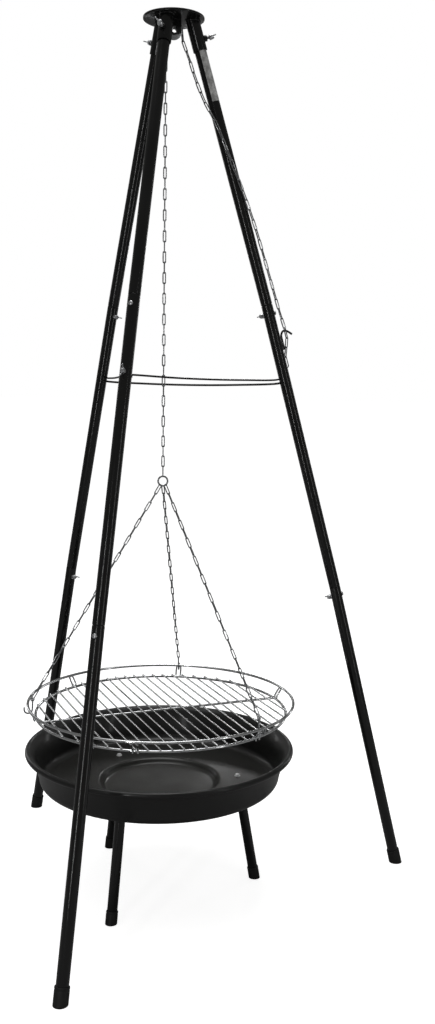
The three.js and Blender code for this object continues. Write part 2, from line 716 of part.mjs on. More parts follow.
function bowlBolt(name) {
  const floor = BOWL_FLOOR_Z + BOWL_SHEET + GAP;
  const head = turned([[0, 0], [6.5, 0], [6.5, 1.2], [5, 1.4], [4.6, 4.4], [0, 4.8]], 12);
  const shank = bar(SCREW_R, vec(0, 0, -18), vec(0, 0, 1), 10);
  const place = around(BOWL_BOLT_RADIUS, BOWL_LEG_AZIMUTHS[name], floor);
  return part("bowl_bolt_" + name, joined([head, shank]).translate(place.x, place.y, place.z), ZINC);
}

function bowl() {
  const group = new THREE.Group();
  group.add(fireBowl());
  for (const name of LEG_NAMES) group.add(bowlLeg(name), bowlBolt(name));
  group.position.set(BOWL_X, BOWL_Y, 0);
  return group;
}

// ---- the whole object ----
const campfireTripod = new THREE.Group();
campfireTripod.add(headPlate(), chainPulley(), pulleyAxle(), chainHook(), returnChain());
for (const name of LEG_NAMES) campfireTripod.add(tripodLeg(name));
campfireTripod.add(spreader(), hangingGrate(), bowl());

const box = new THREE.Box3().setFromObject(campfireTripod, true);
const middle = box.getCenter(vec(0, 0, 0));
campfireTripod.position.set(-middle.x, -middle.y, DATUM_Z);

export default campfireTripod;
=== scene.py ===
"""Looks of the campfire tripod with its hanging grate and fire bowl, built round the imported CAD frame.

Shapes are made in millimetres in the tripod's own frame. Its axis is x = y = 0, and its z = 0 lies DATUM
above the ground. They are put in the row frame, in metres, when they become objects.
"""

import json
import math
import random

import bmesh
import bpy
from mathutils import Matrix, Vector


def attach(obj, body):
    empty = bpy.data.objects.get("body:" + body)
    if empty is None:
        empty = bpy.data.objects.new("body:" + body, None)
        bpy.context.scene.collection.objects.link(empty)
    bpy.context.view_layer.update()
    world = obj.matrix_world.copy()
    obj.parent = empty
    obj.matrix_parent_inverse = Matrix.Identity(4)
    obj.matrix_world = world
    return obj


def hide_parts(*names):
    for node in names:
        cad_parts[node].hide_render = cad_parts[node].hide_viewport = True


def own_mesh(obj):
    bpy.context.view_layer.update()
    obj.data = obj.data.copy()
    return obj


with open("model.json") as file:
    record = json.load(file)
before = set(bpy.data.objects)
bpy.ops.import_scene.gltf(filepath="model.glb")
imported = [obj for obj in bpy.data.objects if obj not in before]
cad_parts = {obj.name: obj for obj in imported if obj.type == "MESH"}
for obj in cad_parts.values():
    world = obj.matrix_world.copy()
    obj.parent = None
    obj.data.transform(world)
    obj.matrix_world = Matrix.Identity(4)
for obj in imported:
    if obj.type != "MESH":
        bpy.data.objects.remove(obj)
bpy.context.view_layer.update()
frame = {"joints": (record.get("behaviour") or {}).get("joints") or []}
JOINTS = {j["name"]: j for j in frame["joints"]}

# ---- dimensions, as in the CAD (millimetres, degrees) ----
AZIMUTHS = {"front": -110.6, "right": 7.5, "back": 129.7}
FOOT_R, TILT, JOINT_LEAN = 548, math.atan(0.2502), 1.13
TUBE_R, TUBE_WALL, PLUG_R, PLUG_LENGTH = 12.5, 1.2, 10.9, 55
TUBE_START, LOWER_MOUTH, UPPER_MOUTH, TUBE_END = 2, 686, 1339, 1936
BOLT_DROP = 20
CAP_R, CAP_LENGTH, CAP_BELOW = 15, 27, 28  # a cap is made too long below and cut level at the ground
LABEL_START, LABEL_END, LABEL_FROM, LABEL_TO = 1779, 1884.4, -111, 20  # along the leg, and round the tube
PLATE_R, PLATE_Z, PLATE_T = 64.7, 1880, 5
SOCKET_R, SOCKET_START, SOCKET_END, SOCKET_SCREW = 15, 1885, 1990, 1908.5
NUT_CORNERS, NUT_H, NUT_SUNK = 13.4, 6, 0.9
PULLEY_Z, PULLEY_R, GROOVE_R, PULLEY_HALF = 1858.5, 18, 10.2, 5.7
RUN_R, AXLE_R, AXLE_BORE, RIVET_HEAD_R, RIVET_HEAD_T = 16.5, 7.9, 6.5, 10.2, 1.3
CHEEK_W, CHEEK_LOW, CHEEK_IN, CHEEK_OUT, CHEEK_CORNER = 30, 1849.7, 6.1, 8.1, 6
SCREW_R, SPAN, WING_H, WING_T, BOSS_R, BOSS_H = 3, 12.5, 13, 2.2, 6, 8
SPREADER_AT, ROD_R, EYE_R, EYE_T = 1181, 2.4, 6.6, 2.2
ROD_LOW, ROD_HIGH = -13.5, -5  # the rods' ends on the back and right legs, from SPREADER_AT
HOOK_WIRE, HOOK_EYE_R = 1.7, 3.4
PIVOT_Z, RING_Z, RING_R, RING_WIRE = 1844, 909.5, 10.5, 2
RIM_Z, RIM_R, GRATE_Z, GRATE_R = 415, 297, 391, 280
WIRE_R, BAR_R, BAR_PITCH, BARS_SIDE = 3, 2, 23.3, 11
CROSSBAR_AZ = 19.5
RISERS = [20, 82, 138, 194, 260, 315]
HOOKS = {"back": 82, "left": 194, "right": 315}
BOWL_C, BOWL_SHEET, BOWL_RIM_R, BOWL_RIM_Z, BOWL_BEAD = (-19, -19), 1.5, 299.5, 317, 6.4
BOWL_WALL_R, BOWL_WALL_LOW, BOWL_CORNER, BOWL_FLOOR = 280, 269, 18, 236
RECESS_R, RECESS_D, RECESS_SLOPE, PRESSED_R = 133, 12, 7, 9
BOWL_AZ = {"front": -116.5, "right": 3.5, "back": 123.5}
BOWL_BOLT_R, BOWL_FOOT_R, BOWL_LEG_R, BOWL_LEG_START = 177, 219, 11, 1
BOWL_CAP_R, BOWL_CAP_LENGTH = 13, 21
BOWL_TILT = math.atan((BOWL_FOOT_R - BOWL_BOLT_R) / BOWL_FLOOR)
GAP = 0.35
LINK_PITCH, LINK_WIRE, LINK_HALF = 22, 1.25, 2.75

# ---- how far each screw or nut is turned at rest (degrees) ----
HEAD_SCREW_ROLLS = {"front": 44, "right": 90, "back": 90}
LEG_NUT_ROLLS = {"front": 0, "right": 90, "back": 90}
SPREADER_NUT_ROLL = -6

AXIS = Vector(JOINTS["pulley_turn"]["pos_m"])
DATUM = AXIS.z - PULLEY_Z / 1000  # height above the ground of the level that z = 0 stands for here
TO_ROW = Matrix.Translation((AXIS.x, AXIS.y, DATUM)) @ Matrix.Scale(0.001, 4)
PULLEY_AZ = 9.5


def around(radius, azimuth, z=0.0, centre=(0, 0)):
    a = math.radians(azimuth)
    return Vector((centre[0] + radius * math.cos(a), centre[1] + radius * math.sin(a), z))


STRAND = around(-RUN_R, PULLEY_AZ)
GRATE_C = (STRAND.x, STRAND.y)


# ---- matrices ----
def turn(degrees, axis):
    return Matrix.Rotation(math.radians(degrees), 4, axis)


def move(x, y, z):
    return Matrix.Translation((x, y, z))


def leg_pose(azimuth, foot_radius=FOOT_R, tilt=TILT, centre=(0, 0)):
    """+Z runs up the leg, +X faces outward and square to it."""
    lean = Matrix.Rotation(-tilt, 4, "Y")
    return move(centre[0], centre[1], 0) @ turn(azimuth, "Z") @ move(foot_radius, 0, 0) @ lean


def tube_frame(along):
    """The frame of the tube at a distance along a leg; each joint's play leans the tube above it inward."""
    leaning = Matrix()
    for mouth in (LOWER_MOUTH, UPPER_MOUTH):
        if along > mouth:
            leaning = leaning @ move(0, 0, mouth) @ turn(-JOINT_LEAN, "Y") @ move(0, 0, -mouth)
    return leaning


def leg_at(name, along):
    return leg_pose(AZIMUTHS[name]) @ tube_frame(along)


ALONG_X = turn(90, "Y")  # a piece made along +Z lies along +X
ON_PULLEY = move(0, 0, PULLEY_Z) @ turn(PULLEY_AZ, "Z") @ turn(-90, "X")


# ---- shapes ----
def put_in_scene(name, data):
    made = bpy.data.objects.new(name, data)
    bpy.context.scene.collection.objects.link(made)
    return made


class Shape:
    """Collects geometry in millimetres and turns it into one object."""

    def __init__(self):
        self.verts, self.faces = [], []

    def add(self, geometry, matrix=None):
        verts, faces = geometry
        base = len(self.verts)
        self.verts += [(matrix @ v if matrix else v) for v in verts]
        self.faces += [[i + base for i in f] for f in faces]
        return self

    def object(self, name, body, material, replaces, slot, sharp=40):
        mesh = bpy.data.meshes.new(name)
        mesh.from_pydata([TO_ROW @ Vector(v) for v in self.verts], [], self.faces)
        mesh.polygons.foreach_set("use_smooth", [True] * len(mesh.polygons))
        mesh.update()
        mesh.set_sharp_from_angle(angle=math.radians(sharp))
        mesh.materials.append(material)
        made = put_in_scene(name, mesh)
        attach(made, body)
        if replaces:
            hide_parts(*replaces)
        return made


def unit_circle(steps):
    """(cosine, sine) of each step round a full turn."""
    angles = [2 * math.pi * i / steps for i in range(steps)]
    return [(math.cos(a), math.sin(a)) for a in angles]


def lathe(profile, segments):
    """A solid of revolution about +Z from (radius, z) pairs; it ends on the axis or closes on itself."""
    closed = profile[0][0] > 0 or profile[-1][0] > 0
    verts, rings = [], []
    for r, z in profile:
        if r == 0:
            rings.append([len(verts)] * segments)
            verts.append(Vector((0, 0, z)))
        else:
            rings.append(list(range(len(verts), len(verts) + segments)))
            verts += [Vector((r * x, r * y, z)) for x, y in unit_circle(segments)]
    pairs = list(zip(rings, rings[1:])) + ([(rings[-1], rings[0])] if closed else [])
    faces = []
    for low, high in pairs:
        for i in range(segments):
            k = (i + 1) % segments
            corners = [low[i], low[k], high[k], high[i]]
            face = [c for n, c in enumerate(corners) if c != corners[n - 1]]
            if len(face) > 2:
                faces.append(face)
    return verts, faces


def sleeve(inner, outer, low, high):
    """The lathe profile of a short tube, or of a disc when its inner radius is 0."""
    return [(inner, low), (outer, low), (outer, high), (inner, high)]


def arc(centre_r, centre_z, radius, start, end, steps):
    """(radius, z) pairs of an arc in a lathe profile, angles in degrees."""
    angles = [math.radians(start + (end - start) * i / steps) for i in range(steps + 1)]
    return [(centre_r + radius * math.cos(a), centre_z + radius * math.sin(a)) for a in angles]


def bezier(a, b, c, t):
    """A point of the curve from a to c that bends towards b."""
    return a * (1 - t) ** 2 + b * 2 * t * (1 - t) + c * t * t


def rounded(profile, radius, steps=3, closed=None):
    """A lathe profile with its corners rounded, apart from the points on the axis."""
    closed = (profile[0][0] > 0 or profile[-1][0] > 0) if closed is None else closed
    count, out = len(profile), []
    for i, (r, z) in enumerate(profile):
        if (r == 0 and not closed) or (not closed and i in (0, count - 1)):
            out.append((r, z))
            continue
        here = Vector((r, z))
        before, after = Vector(profile[i - 1]), Vector(profile[(i + 1) % count])
        a, b = before - here, after - here
        reach = min(radius, a.length * 0.45, b.length * 0.45)
        p, q = here + a.normalized() * reach, here + b.normalized() * reach
        out += [tuple(bezier(p, here, q, s / steps)) for s in range(steps + 1)]
    return out


def smooth(points, steps):
    """Centripetal Catmull-Rom through the points, with the same steps between each two."""
    pts = [Vector(p) for p in points]
    pts = [pts[0] * 2 - pts[1], *pts, pts[-1] * 2 - pts[-2]]
    out = []
    for p in (pts[i : i + 4] for i in range(len(pts) - 3)):
        t = [0.0]
        for a, b in zip(p, p[1:]):
            t.append(t[-1] + max((b - a).length, 1e-6) ** 0.5)

        def between(a, b, low, high, u):
            return a * ((high - u) / (high - low)) + b * ((u - low) / (high - low))

        for s in range(steps):
            u = t[1] + (t[2] - t[1]) * s / steps
            first = [between(p[k], p[k + 1], t[k], t[k + 1], u) for k in range(3)]
            second = [between(first[k], first[k + 1], t[k], t[k + 2], u) for k in range(2)]
            out.append(between(second[0], second[1], t[1], t[2], u))
    return out + [pts[-2]]


def frames(points, closed):
    """Tangent and two normals at each point, carried along without twist."""
    count = len(points)
    tangents = []
    for i in range(count):
        before = points[i - 1] if i or closed else points[0]
        after = points[(i + 1) % count] if i < count - 1 or closed else points[-1]
        tangents.append((after - before).normalized())
    helper = Vector((0, 0, 1)) if abs(tangents[0].z) < 0.9 else Vector((1, 0, 0))
    u = tangents[0].cross(helper).normalized()
    out = []
    for t in tangents:
        u = (u - t * u.dot(t)).normalized()
        out.append((t, u, t.cross(u)))
    return out


def sweep(points, radius, sides, closed=False, tips=0.0):
    """A round bar along the points; radius is a number or one per point; tips rounds its ends."""
    points = [Vector(p) for p in points]
    radii = list(radius) if hasattr(radius, "__len__") else [radius] * len(points)
    rings = list(zip(points, radii, frames(points, closed)))
    if tips and not closed:
        first, last = rings[0], rings[-1]
        for k in (1, 2, 3):
            a = math.radians(26 * k)
            shrink, out = math.cos(a), math.sin(a) * tips
            rings.insert(0, (first[0] - first[2][0] * out, first[1] * shrink, first[2]))
            rings.append((last[0] + last[2][0] * out, last[1] * shrink, last[2]))
    verts = []
    for p, r, (_, u, v) in rings:
        verts += [p + u * (r * x) + v * (r * y) for x, y in unit_circle(sides)]
    count, faces = len(rings), []
    for k in range(count if closed else count - 1):
        a, b = k * sides, ((k + 1) % count) * sides
        for i in range(sides):
            j = (i + 1) % sides
            faces.append([a + i, a + j, b + j, b + i])
    if not closed:
        faces.append(list(range(sides))[::-1])
        faces.append(list(range((count - 1) * sides, count * sides)))
    return verts, faces


def circle(radius, steps, matrix):
    return [matrix @ Vector((radius * x, radius * y, 0)) for x, y in unit_circle(steps)]


def bead(points, radius, ripple, phase, sides=8, **ends):
    """A run of weld along the points, whose thickness rises and falls."""
    radii = [radius + ripple * math.sin(i * phase) for i in range(len(points))]
    return sweep(points, radii, sides, **ends)


def from_bmesh(bm):
    bm.verts.ensure_lookup_table()
    verts = [v.co.copy() for v in bm.verts]
    faces = [[v.index for v in f.verts] for f in bm.faces]
    bm.free()
    return verts, faces


def into_bmesh(geometry):
    bm = bmesh.new()
    made = [bm.verts.new(v) for v in geometry[0]]
    for f in geometry[1]:
        bm.faces.new([made[i] for i in f])
    bm.normal_update()
    return bm


def slab(outline, thickness, bevel):
    """A plate from a 2D outline, centred on z = 0, with its edges rounded."""
    count, h = len(outline), thickness / 2
    verts = [Vector((x, y, -h)) for x, y in outline] + [Vector((x, y, h)) for x, y in outline]
    faces = [list(range(count))[::-1], list(range(count, 2 * count))]
    faces += [[i, (i + 1) % count, (i + 1) % count + count, i + count] for i in range(count)]
    bm = into_bmesh((verts, faces))
    edges = [e for e in bm.edges if len(e.link_faces) == 2 and e.calc_face_angle() > math.radians(50)]
    bmesh.ops.bevel(bm, geom=edges, offset=bevel, segments=2, affect="EDGES", profile=0.5)
    return from_bmesh(bm)


def plate_with_hole(outline, hole, thickness):
    """A plate centred on z = 0 round a hole at the origin; its outline is seen whole from there."""
    steps, rim = 96, 0.4

    def reach(a):
        far = Vector((math.cos(a), math.sin(a)))
        best = 0.0
        for p, q in zip(outline, outline[1:] + outline[:1]):
            edge = (q[0] - p[0], q[1] - p[1])
            cross = far.x * edge[1] - far.y * edge[0]
            if abs(cross) > 1e-9:
                along = (p[0] * edge[1] - p[1] * edge[0]) / cross
                part = (p[0] * far.y - p[1] * far.x) / cross
                if along > 0 and -1e-6 <= part <= 1 + 1e-6:
                    best = max(best, along)
        return best

    angles = sorted({round(2 * math.pi * i / steps, 6) for i in range(steps)}
                    | {round(math.atan2(y, x) % (2 * math.pi), 6) for x, y in outline})
    h = thickness / 2
    rows = [(None, -h), (-rim, -h), (0, rim - h), (0, h - rim), (-rim, h), (None, h)]  # None is the hole
    verts, faces, count = [], [], len(angles)
    for inset, z in rows:
        for a in angles:
            r = hole if inset is None else reach(a) + inset
            verts.append(Vector((r * math.cos(a), r * math.sin(a), z)))
    for k in range(len(rows)):
        low, high = k * count, (k + 1) % len(rows) * count
        for i in range(count):
            j = (i + 1) % count
            faces.append([low + i, low + j, high + j, high + i])
    return verts, faces


def cut_flat(geometry, point, normal):
    """What is left of a closed shape on the side of the plane that the normal points away from."""
    bm = into_bmesh(geometry)
    everything = bm.verts[:] + bm.edges[:] + bm.faces[:]
    bmesh.ops.bisect_plane(bm, geom=everything, plane_co=point, plane_no=normal, clear_outer=True)
    bmesh.ops.holes_fill(bm, edges=[e for e in bm.edges if e.is_boundary])
    return from_bmesh(bm)


def hexagon(corner_r, chamfer, height):
    """A hexagonal nut or head standing on z = 0, its top edge turned to a cone."""
    outline = [(corner_r * x, corner_r * y) for x, y in unit_circle(6)]
    verts, faces = slab(outline, height, min(0.35, chamfer))
    inner = corner_r * math.cos(math.radians(30))
    for v in verts:
        v.z += height / 2
        r = math.hypot(v.x, v.y)
        if r > inner:
            v.z = min(v.z, height - (r - inner) * chamfer / (corner_r - inner))
    return verts, faces


def weld(centre, radii):
    """A small flattened nugget of weld metal."""
    verts, faces = lathe([(0, -1), *arc(0, 0, 1, -90, 90, 5)[1:-1], (0, 1)], 8)
    return [Vector(centre) + Vector((v.x * radii[0], v.y * radii[1], v.z * radii[2])) for v in verts], faces


# ---- materials ----
def new_material(name):
    made = bpy.data.materials.new(name)
    made.use_nodes = True
    tree = made.node_tree
    return made, tree, tree.nodes["Principled BSDF"]


def set_inputs(node, **values):
    for key, value in values.items():
        node.inputs[key.replace("_", " ")].default_value = value


def noise(tree, scale, detail, roughness=0.5, stretch=(1, 1, 1)):
    """Noise over the piece's own coordinates, in metres, so it stays with the piece."""
    where = tree.nodes.new("ShaderNodeTexCoord")
    mapping = tree.nodes.new("ShaderNodeMapping")
    made = tree.nodes.new("ShaderNodeTexNoise")
    set_inputs(mapping, Scale=stretch)
    set_inputs(made, Scale=scale, Detail=detail, Roughness=roughness)
    tree.links.new(where.outputs["Object"], mapping.inputs["Vector"])
    tree.links.new(mapping.outputs["Vector"], made.inputs["Vector"])
    return made.outputs["Fac"]


def ramp(tree, fac, stops):
    made = tree.nodes.new("ShaderNodeValToRGB")
    while len(made.color_ramp.elements) < len(stops):
        made.color_ramp.elements.new(0.5)
    for element, (position, value) in zip(made.color_ramp.elements, stops):
        element.position = position
        element.color = (*value, 1) if hasattr(value, "__len__") else (value, value, value, 1)
    tree.links.new(fac, made.inputs["Fac"])
    return made.outputs["Color"]


def mix(tree, fac, a, b):
    made = tree.nodes.new("ShaderNodeMix")
    made.data_type = "RGBA"
    tree.links.new(fac, made.inputs[0])
    for socket, value in ((made.inputs[6], a), (made.inputs[7], b)):
        if hasattr(value, "is_linked"):
            tree.links.new(value, socket)
        else:
            socket.default_value = (*value, 1)
    return made.outputs[2]


def bump(tree, bsdf, height, distance, strength=1.0):
    made = tree.nodes.new("ShaderNodeBump")
    set_inputs(made, Distance=distance, Strength=strength)
    tree.links.new(height, made.inputs["Height"])
    tree.links.new(made.outputs["Normal"], bsdf.inputs["Normal"])


LOW_PALE_COLOUR, LOW_PALE_FADE = (0.015, 0.015, 0.0125), 0.012


def gloss_paint(name, dark, light, rough_low, rough_high, peel=0.00006, paler_below=None):
    """Black stove paint: a little orange peel, cloudy gloss and a few dull specks of dust.

    Below a height in metres the paint can be paler, towards the bottom of a bowl.
    """
    made, tree, bsdf = new_material(name)
    cloud = noise(tree, 9, 4)
    fine = noise(tree, 420, 2)
    dust = noise(tree, 1400, 1)
    colour = mix(tree, ramp(tree, cloud, [(0.35, 0), (0.7, 1)]), dark, light)
    speck = ramp(tree, dust, [(0.70, 0), (0.78, 1)])
    colour = mix(tree, speck, colour, [c * 2.2 for c in light])
    if paler_below:
        place, split = tree.nodes.new("ShaderNodeTexCoord"), tree.nodes.new("ShaderNodeSeparateXYZ")
        paler_mask = tree.nodes.new("ShaderNodeMapRange")
        set_inputs(paler_mask, From_Min=paler_below, From_Max=paler_below - LOW_PALE_FADE)
        tree.links.new(place.outputs["Object"], split.inputs[0])
        tree.links.new(split.outputs["Z"], paler_mask.inputs["Value"])
        colour = mix(tree, paler_mask.outputs["Result"], colour, LOW_PALE_COLOUR)
    tree.links.new(colour, bsdf.inputs["Base Color"])
    tree.links.new(ramp(tree, cloud, [(0.3, rough_low), (0.75, rough_high)]), bsdf.inputs["Roughness"])
    set_inputs(bsdf, Coat_Weight=0.2, Coat_Roughness=0.1)
    bump(tree, bsdf, fine, peel)
    return made


def plated(name, light, dark, rough_low, rough_high, scale=160, tint=(0.62, 0.60, 0.52), tint_amount=0.2,
           metallic=1.0):
    """Zinc or chrome plating: mottled tone, soft scratches and a faint warm cast in places."""
    made, tree, bsdf = new_material(name)
    mottle = noise(tree, scale, 4, 0.6)
    cast = noise(tree, 30, 2)
    grain = noise(tree, 1500, 2, 0.7)
    colour = mix(tree, ramp(tree, mottle, [(0.32, 0), (0.68, 1)]), dark, light)
    colour = mix(tree, ramp(tree, cast, [(0.55, 0), (0.8, tint_amount)]), colour, tint)
    tree.links.new(colour, bsdf.inputs["Base Color"])
    tree.links.new(ramp(tree, mottle, [(0.3, rough_high), (0.7, rough_low)]), bsdf.inputs["Roughness"])
    set_inputs(bsdf, Metallic=metallic)
    bump(tree, bsdf, grain, 0.00002, 0.6)
    return made


def plastic(name, dark, light):
    """Moulded plastic: fine spark-eroded texture, scuffed paler here and there."""
    made, tree, bsdf = new_material(name)
    scuff = noise(tree, 55, 5, 0.65)
    texture = noise(tree, 1800, 2)
    colour = mix(tree, ramp(tree, scuff, [(0.55, 0), (0.85, 1)]), dark, light)
    tree.links.new(colour, bsdf.inputs["Base Color"])
    tree.links.new(ramp(tree, scuff, [(0.4, 0.5), (0.8, 0.68)]), bsdf.inputs["Roughness"])
    set_inputs(bsdf, Specular_IOR_Level=0.4)
    bump(tree, bsdf, texture, 0.00008)
    return made


def foil(name):
    """Blank silver label foil, brushed along its length and crinkled where it was pressed on; its colour is
    painted pale, with near-white patches of painted sheen over the crinkle.
    """
    made, tree, bsdf = new_material(name)
    brushed = noise(tree, 700, 3, 0.6, (1, 1, 0.05))
    crinkle_and_sheen = noise(tree, 95, 4, 0.65, (1, 1, 0.6))
    # painted sheen: the foil's colour is made pale and its crinkle patches near white, standing in for light
    # glinting on the foil; the crinkle's bump below is real
    colour = mix(tree, ramp(tree, crinkle_and_sheen, [(0.4, 0), (0.62, 1)]), (0.5, 0.5, 0.49), (1.0, 1.0, 0.98))
    tree.links.new(colour, bsdf.inputs["Base Color"])
    tree.links.new(ramp(tree, brushed, [(0.3, 0.3), (0.7, 0.45)]), bsdf.inputs["Roughness"])
    set_inputs(bsdf, Metallic=0.1)
    bump(tree, bsdf, crinkle_and_sheen, 0.0003, 0.5)
    return made


PAINT = gloss_paint("black_stove_paint", (0.004, 0.004, 0.004), (0.007, 0.007, 0.0068), 0.13, 0.24)
ENAMEL = gloss_paint("black_bowl_enamel", (0.005, 0.005, 0.0048), (0.009, 0.009, 0.0085), 0.34, 0.5, 0.00012,
                     paler_below=BOWL_FLOOR / 1000 + 0.015)
PLASTIC = plastic("black_cap_plastic", (0.012, 0.012, 0.012), (0.03, 0.03, 0.03))
ZINC = plated("bright_zinc", (0.78, 0.79, 0.8), (0.55, 0.56, 0.58), 0.22, 0.42)
# painted shade: the chain zinc is the hardware zinc made darker and more mottled, standing in for the shade
# between the links
CHAIN_ZINC_PAINTED_SHADE = plated("chain_zinc", (0.6, 0.61, 0.62), (0.3, 0.31, 0.32), 0.22, 0.4, 110)
CHROME = plated("grate_chrome", (0.84, 0.85, 0.86), (0.7, 0.71, 0.72), 0.08, 0.2, 70, (0.7, 0.63, 0.5), 0.12)
# painted highlight: the bowl bolts get a near-white, mostly unmetallic copy of the zinc, so that they shine
# brighter than the other zinc hardware
BOLT_ZINC_PAINTED_SHINE = plated("bowl_bolt_zinc_painted_shine", (1.0, 1.0, 0.99), (0.85, 0.86, 0.87), 0.3, 0.5, metallic=0.3)
FOIL = foil("blank_label_foil")


# ---- screws, nuts and rods ----
def wings():
    """Two wings on a boss, along +Z with the seat at z = 0."""
    at = Vector((BOSS_R - 0.4, 1.0))
    outline = [(1.5, 0.8), tuple(at)]
    for bend, end in (((8.4, 2.8), (10.3, 6)), ((12.4, 8.6), (SPAN, 10.2)),
                      ((12.2, WING_H), (9.9, WING_H - 0.2)), ((8.0, 12.2), (7.2, 9.8)),
                      ((6, 7.6), (4, BOSS_H - 0.6))):
        outline += [tuple(bezier(at, Vector(bend), Vector(end), s / 4)) for s in (1, 2, 3, 4)]
        at = Vector(end)
    outline.append((1.5, BOSS_H - 0.8))
    boss = [(SCREW_R, 0), (BOSS_R, 0), (BOSS_R - 1.2, BOSS_H), (SCREW_R, BOSS_H)]
    made = Shape().add(lathe(rounded(boss, 0.7), 28))
    ear = slab(outline, WING_T, 0.7)
    for half in (0, 180):
        made.add(ear, turn(half, "Z") @ turn(90, "X"))
    return made.verts, made.faces


def threaded(length):
    """A screw's thread of 1 mm pitch, as rings that rise and fall, from z = 0 up."""
    turns, root, tip = int(length), SCREW_R * 0.86, SCREW_R * 0.8
    profile = [(0, 0), (tip, 0)]
    for i in range(turns):
        profile += [(root, i + 0.25), (SCREW_R, i + 0.75)]
    profile += [(tip, turns + 0.3), (0, turns + 0.3)]
    return lathe(profile, 20)


def dome_head(radius, height):
    edge = height * 0.35
    profile = [(0, 0), (radius, 0), (radius, edge)]
    for a in (math.radians(degrees) for degrees in (18, 36, 54, 72)):
        profile.append((radius * math.cos(a), edge + height * 0.65 * math.sin(a)))
    return lathe(rounded(profile + [(0, height)], 0.25, 2), 28)


# ---- head ----
def head():
    """The disc, with the pulley bracket's two cheeks welded under it."""
    plate = rounded(sleeve(0, PLATE_R, PLATE_Z, PLATE_Z + PLATE_T), 1.6, 4)
    shape = Shape().add(lathe(plate, 96))
    top, low, half = PLATE_Z - PULLEY_Z, CHEEK_LOW - PULLEY_Z, CHEEK_W / 2
    flat, bend = half - CHEEK_CORNER, low + CHEEK_CORNER
    corner = [(CHEEK_CORNER * math.sin(math.radians(a)), CHEEK_CORNER * math.cos(math.radians(a)))
              for a in (22, 45, 68)]
    outline = [(-half, top), (-half, bend), *[(-flat - x, bend - z) for x, z in corner[::-1]], (-flat, low),
               (flat, low), *[(flat + x, bend - z) for x, z in corner], (half, bend), (half, top)]
    cheek = plate_with_hole(outline, AXLE_R + 0.1, CHEEK_OUT - CHEEK_IN)
    bracket = turn(PULLEY_AZ, "Z")
    for side in (-1, 1):
        middle = side * (CHEEK_IN + CHEEK_OUT) / 2
        shape.add(cheek, bracket @ move(0, middle, PULLEY_Z) @ turn(90, "X"))
        run = [Vector((x, side * (CHEEK_OUT + 0.4), PLATE_Z - 0.2)) for x in range(-13, 14, 2)]
        shape.add(bead(run, 1.1, 0.25, 2.1, tips=1), bracket)
    shape.object("head_plate_and_bracket", "tripod", PAINT, ["head_plate"], "black_paint")


def pulley():
    w, inner, depth = PULLEY_HALF, AXLE_R + 0.3, 3.4
    profile = [(inner, -w), (PULLEY_R - 0.9, -w), (PULLEY_R, -w + 0.5), (PULLEY_R - 0.4, -w + 1.2)]
    profile += [(GROOVE_R + depth * (abs(k) / 4) ** 2, (w - 1.9) * k / 4) for k in range(-4, 5)]
    profile += [(PULLEY_R - 0.4, w - 1.2), (PULLEY_R, w - 0.5), (PULLEY_R - 0.9, w), (inner, w)]
    wheel = Shape().add(lathe(profile, 72), ON_PULLEY)
    wheel.object("pulley_wheel", "pulley", ZINC, ["chain_pulley"], "hardware_zinc")
    a, b, head_r = CHEEK_OUT + GAP, CHEEK_OUT + GAP + RIVET_HEAD_T, RIVET_HEAD_R
    profile = [(AXLE_BORE, -b), (head_r, -b), (head_r, -a), (AXLE_R, -a),
               (AXLE_R, a), (head_r, a), (head_r, b), (AXLE_BORE, b)]
    rivet = Shape().add(lathe(rounded(profile, 0.6), 48), ON_PULLEY)
    rivet.object("pulley_rivet", "tripod", PAINT, ["pulley_axle"], "black_paint")


def socket(name):
    """A tube cut where it meets the plate, with a nut welded to its outer side."""
    pose = leg_at(name, SOCKET_START)
    verts, faces = lathe(rounded(sleeve(TUBE_R + GAP, SOCKET_R, SOCKET_START, SOCKET_END), 0.5, 2), 48)
    bm = into_bmesh(([pose @ v for v in verts], faces))
    bmesh.ops.bisect_plane(bm, geom=bm.verts[:] + bm.edges[:] + bm.faces[:], plane_co=(0, 0, PLATE_Z - 0.1),
                           plane_no=(0, 0, 1), clear_outer=True)
    rim = [e for e in bm.edges if e.is_boundary]
    bmesh.ops.bridge_loops(bm, edges=rim)
    shape = Shape().add(from_bmesh(bm))
    nut = hexagon(NUT_CORNERS / 2, 0.5, NUT_H + NUT_SUNK)
    shape.add(nut, pose @ move(SOCKET_R - NUT_SUNK, 0, SOCKET_SCREW) @ ALONG_X)
    round_nut = circle(NUT_CORNERS / 2 - 0.3, 28, move(SOCKET_R, 0, SOCKET_SCREW) @ ALONG_X)
    for p in round_nut:  # the weld follows the tube's round side
        p.x = math.sqrt(max(SOCKET_R ** 2 - p.y ** 2, 1)) + 0.1
    shape.add(bead([pose @ p for p in round_nut], 0.9, 0.2, 1.7, closed=True))
    under_plate = []
    for p in circle(SOCKET_R, 44, Matrix()):
        low, high = pose @ p, pose @ (p + Vector((0, 0, SOCKET_END)))
        under_plate.append(low.lerp(high, (PLATE_Z - 0.6 - low.z) / (high.z - low.z)))
    shape.add(bead(under_plate, 1.5, 0.3, 1.9, 10, closed=True))
    shape.object(f"socket_welded_{name}", "tripod", PAINT, [f"socket_{name}"], "black_paint")


def head_screw(name, roll):
    seat = SOCKET_R + NUT_H + 5.5
    reach = seat - TUBE_R - GAP
    place = leg_at(name, SOCKET_SCREW) @ move(seat, 0, SOCKET_SCREW) @ turn(roll, "X") @ ALONG_X
    shape = Shape().add(wings(), place)
    shape.add(threaded(reach), place @ move(0, 0, -reach))
    shape.add(lathe(rounded(sleeve(0, SCREW_R, BOSS_H - 1.5, BOSS_H + 0.4), 0.4), 20), place)
    shape.object(f"head_wing_screw_cast_{name}", f"screw_head_{name}", ZINC, [f"head_wing_screw_{name}"],
                 "hardware_zinc")


